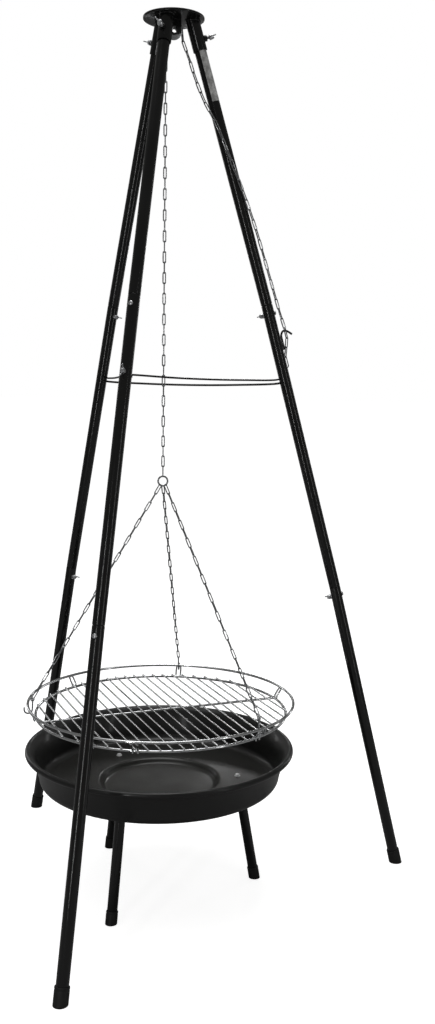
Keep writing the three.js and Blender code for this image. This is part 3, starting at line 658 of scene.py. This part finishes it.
# ---- legs ----
def leg_tube(name, level, start, end, plugged):
    inner, plug_inner, shoulder = TUBE_R - TUBE_WALL, PLUG_R - TUBE_WALL, start + 0.6
    shape = Shape()
    if plugged:
        body = [(plug_inner, shoulder), (TUBE_R - 0.8, shoulder), (TUBE_R, shoulder + 1.4), (TUBE_R, end),
                (inner, end), (inner, shoulder + 3), (plug_inner, shoulder + 2.4)]
        plug = sleeve(plug_inner, PLUG_R, start - PLUG_LENGTH, shoulder + 1)
        shape.add(lathe(rounded(plug, 0.4, 2), 56), leg_at(name, start - 1))
    else:
        body = sleeve(inner, TUBE_R, start, end)
    shape.add(lathe(rounded(body, 0.45), 56), leg_at(name, end))
    shape.object(f"leg_tube_{level}_{name}", "tripod", PAINT, [f"leg_{level}_{name}"], "black_paint", 50)


def foot_cap(name, body, cad_node, pose, outer, tube_r, start, length):
    """A plastic cup round a tube's end, with a groove under its lip and a level sole."""
    inner, wall, lip, groove = tube_r + 0.1, outer - 0.3, outer - 0.25, outer - 0.7
    profile = [(0, -CAP_BELOW), (wall, -CAP_BELOW), (wall, length - 7), (groove, length - 6.4),
               (groove, length - 4.6), (lip, length - 4), (lip, length - 1), (outer - 1, length),
               (inner, length), (inner, start - GAP), (0, start - GAP)]
    verts, faces = lathe(rounded(profile, 0.4, 2), 56)
    solid = cut_flat(([pose @ v for v in verts], faces), (0, 0, -1000 * DATUM), (0, 0, -1))
    Shape().add(solid).object(name, body, PLASTIC, [cad_node], "black_plastic")


def joint_bolt(name, level, at):
    """A bolt through a leg with its head outside and its wing nut inside."""
    pose = leg_at(name, at)
    shape = Shape().add(dome_head(5, 3.6), pose @ move(TUBE_R + 0.1, 0, at) @ ALONG_X)
    end = TUBE_R + BOSS_H + 2.2
    shape.add(threaded(end + TUBE_R), pose @ move(-end, 0, at) @ ALONG_X)
    shape.object(f"joint_bolt_{level}_{name}", "tripod", ZINC, [f"leg_bolt_{level}_{name}"], "hardware_zinc")
    seat = pose @ move(-TUBE_R - GAP, 0, at) @ turn(180, "Z")
    nut = Shape().add(wings(), seat @ turn(LEG_NUT_ROLLS[name], "X") @ ALONG_X)
    nut.object(f"wing_nut_cast_{level}_{name}", f"nut_{level}_{name}", ZINC, [f"wing_nut_{level}_{name}"],
               "hardware_zinc")


def legs():
    for name in AZIMUTHS:
        leg_tube(name, "lower", TUBE_START, LOWER_MOUTH, False)
        leg_tube(name, "middle", LOWER_MOUTH, UPPER_MOUTH, True)
        leg_tube(name, "upper", UPPER_MOUTH, TUBE_END, True)
        joint_bolt(name, "lower", LOWER_MOUTH - BOLT_DROP)
        joint_bolt(name, "upper", UPPER_MOUTH - BOLT_DROP)
        foot_cap(f"foot_cup_{name}", "tripod", f"foot_cap_{name}", leg_at(name, 0), CAP_R, TUBE_R, TUBE_START,
                 CAP_LENGTH)


def label():
    """A blank foil sticker wrapped round part of the right upper tube."""
    steps, faces, verts = 30, [], []
    for r in (TUBE_R - 0.3, TUBE_R + 0.12):
        for z in (LABEL_START, LABEL_END):
            for i in range(steps + 1):
                verts.append(around(r, LABEL_FROM + (LABEL_TO - LABEL_FROM) * i / steps, z))
    n = steps + 1
    for i in range(steps):
        inner_low, inner_high, outer_low, outer_high = i, n + i, 2 * n + i, 3 * n + i
        faces.append([outer_low, outer_low + 1, outer_high + 1, outer_high])
        faces.append([inner_low + 1, inner_low, inner_high, inner_high + 1])
        faces.append([inner_low, inner_low + 1, outer_low + 1, outer_low])
        faces.append([outer_high, outer_high + 1, inner_high + 1, inner_high])
    faces.append([0, 2 * n, 3 * n, n])
    faces.append([n - 1, 2 * n - 1, 4 * n - 1, 3 * n - 1])
    foil_strip = Shape().add((verts, faces), leg_at("right", LABEL_START))
    foil_strip.object("blank_label", "tripod", FOIL, (), "hardware_zinc")


# ---- spreader ----
# how far from the front leg's middle the first and the second rod's eye starts on the bolt
EYE_SPACE = 1.2
SEATS = [TUBE_R + GAP, TUBE_R + 2 * GAP + EYE_T + EYE_SPACE]


def beside(name, out, side, along):
    return leg_at(name, along) @ Vector((out, side, along))


def rod_end(name, offset):
    """Where a rod comes to a leg, and its tip in the hole there."""
    at = SPREADER_AT + offset
    return beside(name, -TUBE_R - 5, 0, at), beside(name, -TUBE_R + 4, 0, at)


def sagging(start, end, sag):
    """Points between two ends, lowest in the middle by the sag."""
    return [start.lerp(end, t) - Vector((0, 0, sag * 4 * t * (1 - t))) for t in (0.25, 0.5, 0.75)]


def rod_from_front(piece, seat, towards, sag):
    """A rod whose flattened eye sits on the front leg's bolt."""
    side = 1 if towards == "right" else -1
    x = -seat - EYE_T / 2
    start = beside("front", x, side * (EYE_R - 1.5), SPREADER_AT)
    out = beside("front", x, side * (EYE_R + 5), SPREADER_AT)
    outer, tip = rod_end(towards, ROD_HIGH)
    route = smooth([start, out, *sagging(out, outer, sag), outer, tip], 8)
    shape = Shape().add(sweep(route, ROD_R - 0.4, 16))
    eye = rounded(sleeve(SCREW_R + 0.1, EYE_R, 0, EYE_T), 0.4)
    shape.add(lathe(eye, 32), leg_at("front", SPREADER_AT) @ move(-seat, 0, SPREADER_AT) @ turn(-90, "Y"))
    shape.object(piece + "_bent", "tripod", PAINT, [piece], "black_paint")


def spreader():
    rod_from_front("spreader_rod_front_right", SEATS[0], "right", 4)
    rod_from_front("spreader_rod_front_back", SEATS[1], "back", 3)
    (a, a_tip), (b, b_tip) = rod_end("back", ROD_LOW), rod_end("right", ROD_LOW)
    rod = Shape().add(sweep(smooth([a_tip, a, *sagging(a, b, 6), b, b_tip], 8), ROD_R, 16))
    rod.object("spreader_rod_back_right_bent", "tripod", PAINT, ["spreader_rod_back_right"], "black_paint")
    head_at = SEATS[1] + EYE_T + EYE_SPACE + GAP
    pose = leg_at("front", SPREADER_AT)
    bolt = Shape().add(hexagon(5.6, 0.5, 4), pose @ move(-head_at, 0, SPREADER_AT) @ turn(-90, "Y"))
    thread = threaded(head_at + TUBE_R + BOSS_H + 2)
    bolt.add(thread, pose @ move(-head_at, 0, SPREADER_AT) @ ALONG_X)
    bolt.object("spreader_bolt_hex", "tripod", ZINC, ["spreader_bolt"], "hardware_zinc")
    seat = pose @ move(TUBE_R + GAP, 0, SPREADER_AT)
    nut = Shape().add(wings(), seat @ turn(SPREADER_NUT_ROLL, "X") @ ALONG_X)
    nut.object("spreader_wing_nut_cast", "nut_spreader", ZINC, ["spreader_wing_nut"], "hardware_zinc")


# ---- chains ----
def link_points(length):
    """The stadium-shaped centreline of a link, along +X in the XY plane, with a point more at its weld."""
    straight, steps = length / 2 - LINK_HALF, 8
    ends = [(LINK_HALF * math.cos(a), LINK_HALF * math.sin(a))
            for a in (math.radians(-90 + 180 * i / steps) for i in range(steps + 1))]
    near, far = [(straight + x, y) for x, y in ends], [(-straight - x, -y) for x, y in ends]
    weld_at = ((near[-1][0] + far[0][0]) / 2, (near[-1][1] + far[0][1]) / 2)
    return [*near, weld_at, *far]


def add_links(shape, joints, lean, rng):
    """Welded links between the joints; each is turned a quarter from the one before."""
    across, wobble = None, 7
    for i, (a, b) in enumerate(zip(joints, joints[1:])):
        t = (b - a).normalized()
        if across is None:
            helper = Vector((0, 1, 0)) if abs(t.y) < 0.9 else Vector((1, 0, 0))
            across = helper.cross(t)
        across = (across - t * across.dot(t)).normalized()
        angle = math.radians(lean + 90 * (i % 2) + rng.uniform(-wobble, wobble))
        u = across * math.cos(angle) + t.cross(across) * math.sin(angle)
        middle = (a + b) / 2
        points = [middle + t * x + u * y for x, y in link_points((b - a).length + 2 * LINK_WIRE)]
        radii = [LINK_WIRE] * len(points)
        radii[len(points) // 2] *= 1.16  # the butt weld on one side
        shape.add(sweep(points, radii, 8, closed=True))


def lay_joints(route):
    """Points on the route a link's pitch apart in a straight line."""
    joints, at = [route[0]], 0
    while at < len(route) - 1:
        here, a, b = joints[-1], route[at], route[at + 1]
        if (b - here).length < LINK_PITCH:
            at += 1
            continue
        low, high = 0.0, 1.0
        for _ in range(30):
            middle = (low + high) / 2
            if (a.lerp(b, middle) - here).length < LINK_PITCH:
                low = middle
            else:
                high = middle
        joints.append(a.lerp(b, high))
    return joints


def straight_joints(start, end):
    count = round((end - start).length / LINK_PITCH)
    return [start.lerp(end, i / count) for i in range(count + 1)]


def on_strand(z):
    return Vector((STRAND.x, STRAND.y, z))


def chains():
    rng = random.Random(7)
    top = on_strand(PIVOT_Z - 2)
    shape = Shape()
    add_links(shape, straight_joints(top, on_strand(RING_Z + RING_R)), 0, rng)
    hanging = shape.object("main_chain_links", "strand", CHAIN_ZINC_PAINTED_SHADE, ["main_chain"], "chain_zinc")
    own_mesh(hanging)

    # over the wheel, down to the right leg, round it and to the hook
    arch, steps, over_r = [top, on_strand(PULLEY_Z - 4)], 12, 17.6
    for i in range(1, steps):
        a = math.pi * (1 - i / steps)
        arch.append(around(over_r * math.cos(a), PULLEY_AZ, PULLEY_Z + over_r * math.sin(a)))
    arch += [around(17.9, PULLEY_AZ, 1845), around(24.5, PULLEY_AZ, 1826), around(35.5, 9, 1798),
             around(43.5, 8.4, 1774)]
    route = [(-21.5, -2.5, 1797), (-17.9, -6.5, 1772), (-10, -15.2, 1735), (0, -17.6, 1657),
             (10, -15.2, 1577), (17, -8.5, 1507), (20.5, -5.5, 1410), (22.6, -5.5, 1325), (24.4, -7.4, 1290),
             (25.4, -7.5, 1272), (25, -1, 1251), (19.6, 7.4, 1234), (15.4, 10.4, 1217), (15.6, 9.6, 1200),
             (16.8, 8.6, 1186)]
    arch += [beside("right", *p) for p in route]
    shape = Shape()
    add_links(shape, lay_joints(smooth(arch, 6)), 45, rng)
    shape.object("return_chain_links", "tripod", CHAIN_ZINC_PAINTED_SHADE, ["return_chain"], "chain_zinc")


def chain_hook():
    sideways = TUBE_R + ROD_R + GAP
    route = [(sideways, 1236), (sideways, 1260), (sideways + 0.5, 1268), (19.5, 1274.5), (24.6, 1276.6),
             (30.5, 1273.8), (35.2, 1269.6), (39.6, 1264.8)]
    rod = smooth([beside("right", out, 0, along) for out, along in route], 5)
    shape = Shape().add(sweep(rod, ROD_R - 0.05, 16, tips=0.4))
    for side in (-1, 1):
        run = [beside("right", TUBE_R + 0.3, side * 1.9, along) for along in range(1238, 1262, 2)]
        shape.add(bead(run, 1.0, 0.25, 2.3, tips=0.8))
    shape.object("chain_hook_welded", "tripod", PAINT, ["chain_hook"], "black_paint")


def junction():
    place = move(STRAND.x, STRAND.y, RING_Z) @ turn(PULLEY_AZ, "Z") @ turn(90, "X")
    made = Shape().add(sweep(circle(RING_R, 48, place), RING_WIRE, 14, closed=True))
    made.object("junction_ring_round", "hanger", CHAIN_ZINC_PAINTED_SHADE, ["junction_ring"], "chain_zinc")


def grate_chains():
    """From the low part of the junction ring to the hooks' eyes."""
    rng = random.Random(11)
    ring_angles = {"left": 205, "right": -25, "back": 270}
    for name, azimuth in HOOKS.items():
        sideways = RING_R * math.cos(math.radians(ring_angles[name])) * 0.55
        start = on_strand(RING_Z - math.sqrt(RING_R ** 2 - sideways ** 2)) + around(sideways, PULLEY_AZ)
        shape = Shape()
        add_links(shape, straight_joints(start, on_grate(RIM_R - 8.8, azimuth, RIM_Z + 23.5)), 20, rng)
        shape.object(f"grate_chain_links_{name}", "grate", CHAIN_ZINC_PAINTED_SHADE, [f"grate_chain_{name}"], "chain_zinc")


def grate_hooks():
    """Bent from an eye inside the rim, under the rim and up on its outer side."""
    route = [(-8.6, 20), (-8.5, 12), (-8.2, 4), (-7.8, -2.5), (-5, -7.6), (0.5, -9.6), (6, -8), (9.4, -3),
             (9.6, 4)]
    for name, azimuth in HOOKS.items():
        points = smooth([on_grate(RIM_R + out, azimuth, RIM_Z + up) for out, up in route], 5)
        shape = Shape().add(sweep(points, HOOK_WIRE, 12, tips=0.8))
        eye = move(*on_grate(RIM_R - 8.6, azimuth, RIM_Z + 21)) @ turn(azimuth, "Z") @ turn(90, "X")
        shape.add(sweep(circle(HOOK_EYE_R, 24, eye), HOOK_WIRE - 0.2, 10, closed=True))
        shape.object(f"grate_hook_bent_{name}", "grate", CHAIN_ZINC_PAINTED_SHADE, [f"grate_hook_{name}"], "chain_zinc")


# ---- grate ----
def on_grate(radius, azimuth, z):
    return around(radius, azimuth, z, GRATE_C)


def ring(radius, z):
    return sweep(circle(radius, 160, move(STRAND.x, STRAND.y, z)), WIRE_R, 14, closed=True)


def grate_floor():
    """The lower ring, the bars across it and the crossbar under them, with their welds."""
    shape = Shape().add(ring(GRATE_R, GRATE_Z))
    u, v = around(1, CROSSBAR_AZ), around(1, CROSSBAR_AZ + 90)
    on_wire = GRATE_Z + WIRE_R
    reach = GRATE_R + WIRE_R - 0.7
    for i in range(-BARS_SIDE, BARS_SIDE + 1):
        offset = i * BAR_PITCH
        half = math.sqrt(reach * reach - offset * offset)
        middle = on_strand(on_wire + BAR_R - 0.6) + u * offset
        points = [middle + v * (half * k / 6) for k in range(-6, 7)]
        shape.add(sweep(points, BAR_R, 12, tips=0.5))
        ring_half = math.sqrt(GRATE_R ** 2 - offset ** 2)
        for end in (-1, 1):
            foot = middle + v * (ring_half * end)
            shape.add(weld((foot.x, foot.y, on_wire - 0.6), (2.9, 2.9, 1.3)))
        shape.add(weld((middle.x, middle.y, on_wire - 0.5), (2.6, 2.6, 1.2)))
    left, right = (on_grate(GRATE_R - 0.5, CROSSBAR_AZ + half_turn, GRATE_Z) for half_turn in (180, 0))
    shape.add(sweep([left.lerp(right, k / 12) for k in range(13)], WIRE_R - 0.2, 14))
    shape.object("grate_bars", "grate", CHROME, ["grate_floor"], "grate_chrome")


def riser(shape, azimuth):
    """A wire bent up from the lower ring to the rim and down again."""
    half, foot_r = 5.5, GRATE_R + WIRE_R + BAR_R + GAP
    side = around(1, azimuth + 90)

    def at(radius, z, offset):
        return on_grate(radius, azimuth, z) + side * offset

    points = [at(foot_r, GRATE_Z - 3, -half), at(foot_r + 1, GRATE_Z + 4, -half),
              at(RIM_R, RIM_Z - 3, 1 - half), at(RIM_R, RIM_Z, 0), at(RIM_R, RIM_Z - 3, half - 1),
              at(foot_r + 1, GRATE_Z + 4, half), at(foot_r, GRATE_Z - 3, half)]
    shape.add(sweep(smooth(points, 6), BAR_R, 12, tips=0.4))
    for offset in (-half, half):
        shape.add(weld(at(foot_r - 1.6, GRATE_Z, offset), (2.2, 2.2, 2.6)))
        shape.add(weld(at(RIM_R, RIM_Z - 2.4, offset * 0.45), (2.6, 2.6, 1.6)))


def grate_rim():
    shape = Shape().add(ring(RIM_R, RIM_Z))
    for azimuth in RISERS:
        riser(shape, azimuth)
    shape.object("grate_rim_ring", "grate", CHROME, ["grate_rim"], "grate_chrome")


# ---- fire bowl ----
def bowl():
    """Pressed from one sheet: a recessed floor, a leaning wall and a rolled rim."""
    recess_z, rim_z = BOWL_FLOOR - RECESS_D, BOWL_RIM_Z - BOWL_BEAD
    corner_r, corner_z = BOWL_WALL_LOW - BOWL_CORNER, BOWL_FLOOR + BOWL_CORNER
    t, foot = BOWL_SHEET, RECESS_R - RECESS_SLOPE
    under = [(0, recess_z), (foot, recess_z), (RECESS_R + 1, BOWL_FLOOR), (corner_r, BOWL_FLOOR)]
    inside = [(corner_r, BOWL_FLOOR + t), (RECESS_R, BOWL_FLOOR + t), (foot - 1, recess_z + t),
              (0, recess_z + t)]
    under, inside = (rounded(points, PRESSED_R, 5, closed=False) for points in (under, inside))
    profile = under[:-1] + arc(corner_r, corner_z, BOWL_CORNER, -90, 0, 14)
    profile += [(BOWL_WALL_R + 0.2, rim_z - 9), (BOWL_WALL_R + 4, rim_z - 3.2)]
    profile += arc(BOWL_RIM_R - BOWL_BEAD, rim_z, BOWL_BEAD, -155, 140, 18)
    profile += [(BOWL_WALL_R + 5.2, rim_z + 1.5), (BOWL_WALL_R - t + 0.6, rim_z - 5)]
    profile += arc(corner_r, corner_z, BOWL_CORNER - t, 0, -90, 14) + inside[1:]
    shape = Shape().add(lathe(profile, 192), move(*BOWL_C, 0))
    shape.object("fire_bowl_pressed", "bowl", ENAMEL, ["fire_bowl"], "bowl_enamel", 60)


def bowl_leg(name, azimuth):
    """A leg tube with a solid end under the floor, its cap, and the bolt through the floor."""
    pose = leg_pose(azimuth, BOWL_FOOT_R, BOWL_TILT, BOWL_C)
    start, end, inner = BOWL_LEG_START, BOWL_FLOOR / math.cos(BOWL_TILT) + 5, BOWL_LEG_R - TUBE_WALL
    solid_from = end - 34
    tube = [(0, solid_from), (inner, solid_from), (inner, start), (BOWL_LEG_R, start), (BOWL_LEG_R, end),
            (0, end)]
    verts, faces = lathe(rounded(tube, 0.4, 2), 48)
    leg = Shape().add(cut_flat(([pose @ v for v in verts], faces), (0, 0, BOWL_FLOOR - 0.05), (0, 0, 1)))
    leg.object(f"bowl_leg_tube_{name}", "bowl", PAINT, [f"bowl_leg_{name}"], "black_paint", 50)
    foot_cap(f"bowl_foot_cup_{name}", "bowl", f"bowl_cap_{name}", pose, BOWL_CAP_R, BOWL_LEG_R, start,
             BOWL_CAP_LENGTH)
    place = move(*around(BOWL_BOLT_R, azimuth, BOWL_FLOOR + BOWL_SHEET, BOWL_C))
    flange_r, flange_t, thread = 6.5, 1.5, 18
    bolt = Shape().add(lathe(rounded(sleeve(SCREW_R, flange_r, 0.05, flange_t), 0.4), 32), place)
    bolt.add(hexagon(5, 0.5, 3.4), place @ move(0, 0, flange_t) @ turn(17, "Z"))
    bolt.add(threaded(thread), place @ move(0, 0, -thread))
    # the bolt's near-white zinc is a painted highlight
    bolt.object(f"bowl_bolt_hex_{name}", "bowl", BOLT_ZINC_PAINTED_SHINE, [f"bowl_bolt_{name}"], "hardware_zinc")


# ---- stage (metres, watts) ----
WHITE, DIM_FLOOR, DIM_ROOM = (1, 1, 1, 1), (0.35, 0.35, 0.35, 1), (1, 1, 0.98, 1)
FLOOR_TONES, FLOOR_GLOW, FLOOR_HALF = (0.78, 0.81), 0.86, 60
ROOM_SEEN, ROOM_FELT = 1.0, 0.13
SUN_STRENGTH, SUN_ANGLE, SUN_TILT = 0.45, 40, (4, -12)
AREA_LIGHTS = {  # where it is, what it faces, its width and height, its power
    "strip_left": ((-1.3, -2.6, 0.9), (0, 0, 0.8), (0.09, 1.9), 8),
    "strip_right": ((2.1, -1.7, 1.1), (0, 0, 0.9), (0.12, 2.2), 4),
    "strip_back_left": ((-1.7, 2.2, 1.2), (0, 0, 0.9), (0.25, 2.0), 3.5),
    "strip_back_right": ((1.9, 2.0, 1.2), (0, 0, 0.9), (0.25, 2.0), 3.5),
    "low_back": ((0.2, 3.0, 1.65), (0, 0, 0.25), (0.4, 0.3), 2.2),
    "top": ((0, 0.7, 3.8), (0, 0, 0), (2.0, 2.0), 40),
}


def seen_and_felt(tree, seen, felt, out):
    """The camera sees one shader; reflections and bounced light get the other."""
    path, chosen = tree.nodes.new("ShaderNodeLightPath"), tree.nodes.new("ShaderNodeMixShader")
    tree.links.new(path.outputs["Is Camera Ray"], chosen.inputs[0])
    tree.links.new(felt.outputs[0], chosen.inputs[1])
    tree.links.new(seen.outputs[0], chosen.inputs[2])
    tree.links.new(chosen.outputs[0], out.inputs["Surface"])


def floor():
    """A pale floor; the camera sees it brighter than the pieces do, so that black stays black."""
    made = bpy.data.materials.new("pale_floor")
    made.use_nodes = True
    tree = made.node_tree
    tree.nodes.clear()
    out, felt, lit, glow, both = (tree.nodes.new("ShaderNode" + kind) for kind in
                                  ("OutputMaterial", "BsdfDiffuse", "BsdfDiffuse", "Emission", "AddShader"))
    set_inputs(felt, Color=DIM_FLOOR)
    set_inputs(glow, Color=WHITE, Strength=FLOOR_GLOW)
    tone = ramp(tree, noise(tree, 6, 3), [(0.3, FLOOR_TONES[0]), (0.7, FLOOR_TONES[1])])
    tree.links.new(tone, lit.inputs["Color"])
    tree.links.new(lit.outputs[0], both.inputs[0])
    tree.links.new(glow.outputs[0], both.inputs[1])
    seen_and_felt(tree, both, felt, out)
    size = FLOOR_HALF
    mesh = bpy.data.meshes.new("floor")
    corners = [(-size, -size, 0), (size, -size, 0), (size, size, 0), (-size, size, 0)]
    mesh.from_pydata(corners, [], [(0, 1, 2, 3)])
    mesh.materials.append(made)
    plane = put_in_scene("floor", mesh)
    plane.location.z = -0.0005  # just under the feet


def area_light(name, place, aim, size, power):
    data = bpy.data.lights.new(name, "AREA")
    data.shape = "RECTANGLE"
    data.size, data.size_y = size
    data.energy = power
    lamp = put_in_scene(name, data)
    lamp.location = place
    lamp.rotation_euler = (Vector(aim) - Vector(place)).to_track_quat("-Z", "Y").to_euler()


def studio():
    """White for the camera, a dim room for the reflections, tall strips beside it and a soft box above."""
    world = bpy.data.worlds.new("studio")
    world.use_nodes = True
    bpy.context.scene.world = world
    tree = world.node_tree
    seen, felt = tree.nodes["Background"], tree.nodes.new("ShaderNodeBackground")
    set_inputs(seen, Color=WHITE, Strength=ROOM_SEEN)
    set_inputs(felt, Color=DIM_ROOM, Strength=ROOM_FELT)
    seen_and_felt(tree, seen, felt, tree.nodes["World Output"])
    sun = bpy.data.lights.new("sun", "SUN")
    sun.energy, sun.angle = SUN_STRENGTH, math.radians(SUN_ANGLE)
    lamp = put_in_scene("sun", sun)
    lamp.rotation_euler = (math.radians(SUN_TILT[0]), math.radians(SUN_TILT[1]), 0)
    for name, light in AREA_LIGHTS.items():
        area_light(name, *light)


# ---- camera ----
CAMERA_PLACE = (0.0, -2390.2, 1131.7)  # millimetres, in the tripod's frame
CAMERA_YAW, CAMERA_PITCH, CAMERA_ROLL = 2.517, 6.918, 0.743
FOCAL_PIXELS, IMAGE_HEIGHT, SENSOR = 1087.7, 1024, 36


def camera():
    data = bpy.data.cameras.new("camera")
    data.sensor_fit, data.sensor_height, data.sensor_width = "VERTICAL", SENSOR, SENSOR
    data.lens = FOCAL_PIXELS / IMAGE_HEIGHT * SENSOR
    data.clip_start, data.clip_end = 0.05, 100
    yaw, pitch, roll = (math.radians(a) for a in (CAMERA_YAW, CAMERA_PITCH, CAMERA_ROLL))
    ahead = Vector((math.sin(yaw) * math.cos(pitch), math.cos(yaw) * math.cos(pitch), -math.sin(pitch)))
    right = Vector((math.cos(yaw), -math.sin(yaw), 0))
    up = right.cross(ahead)
    right, up = right * math.cos(roll) + up * math.sin(roll), up * math.cos(roll) - right * math.sin(roll)
    made = put_in_scene("camera", data)
    rotation = Matrix((right, up, -ahead)).transposed().to_4x4()
    made.matrix_world = Matrix.Translation(TO_ROW @ Vector(CAMERA_PLACE)) @ rotation
    bpy.context.scene.camera = made


camera()
head()
pulley()
for leg_name, screw_roll in HEAD_SCREW_ROLLS.items():
    socket(leg_name)
    head_screw(leg_name, screw_roll)
legs()
label()
spreader()
chains()
chain_hook()
junction()
grate_chains()
grate_hooks()
grate_floor()
grate_rim()
bowl()
for leg_name, leg_azimuth in BOWL_AZ.items():
    bowl_leg(leg_name, leg_azimuth)
floor()
studio()
bpy.context.scene.view_settings.view_transform = "Standard"
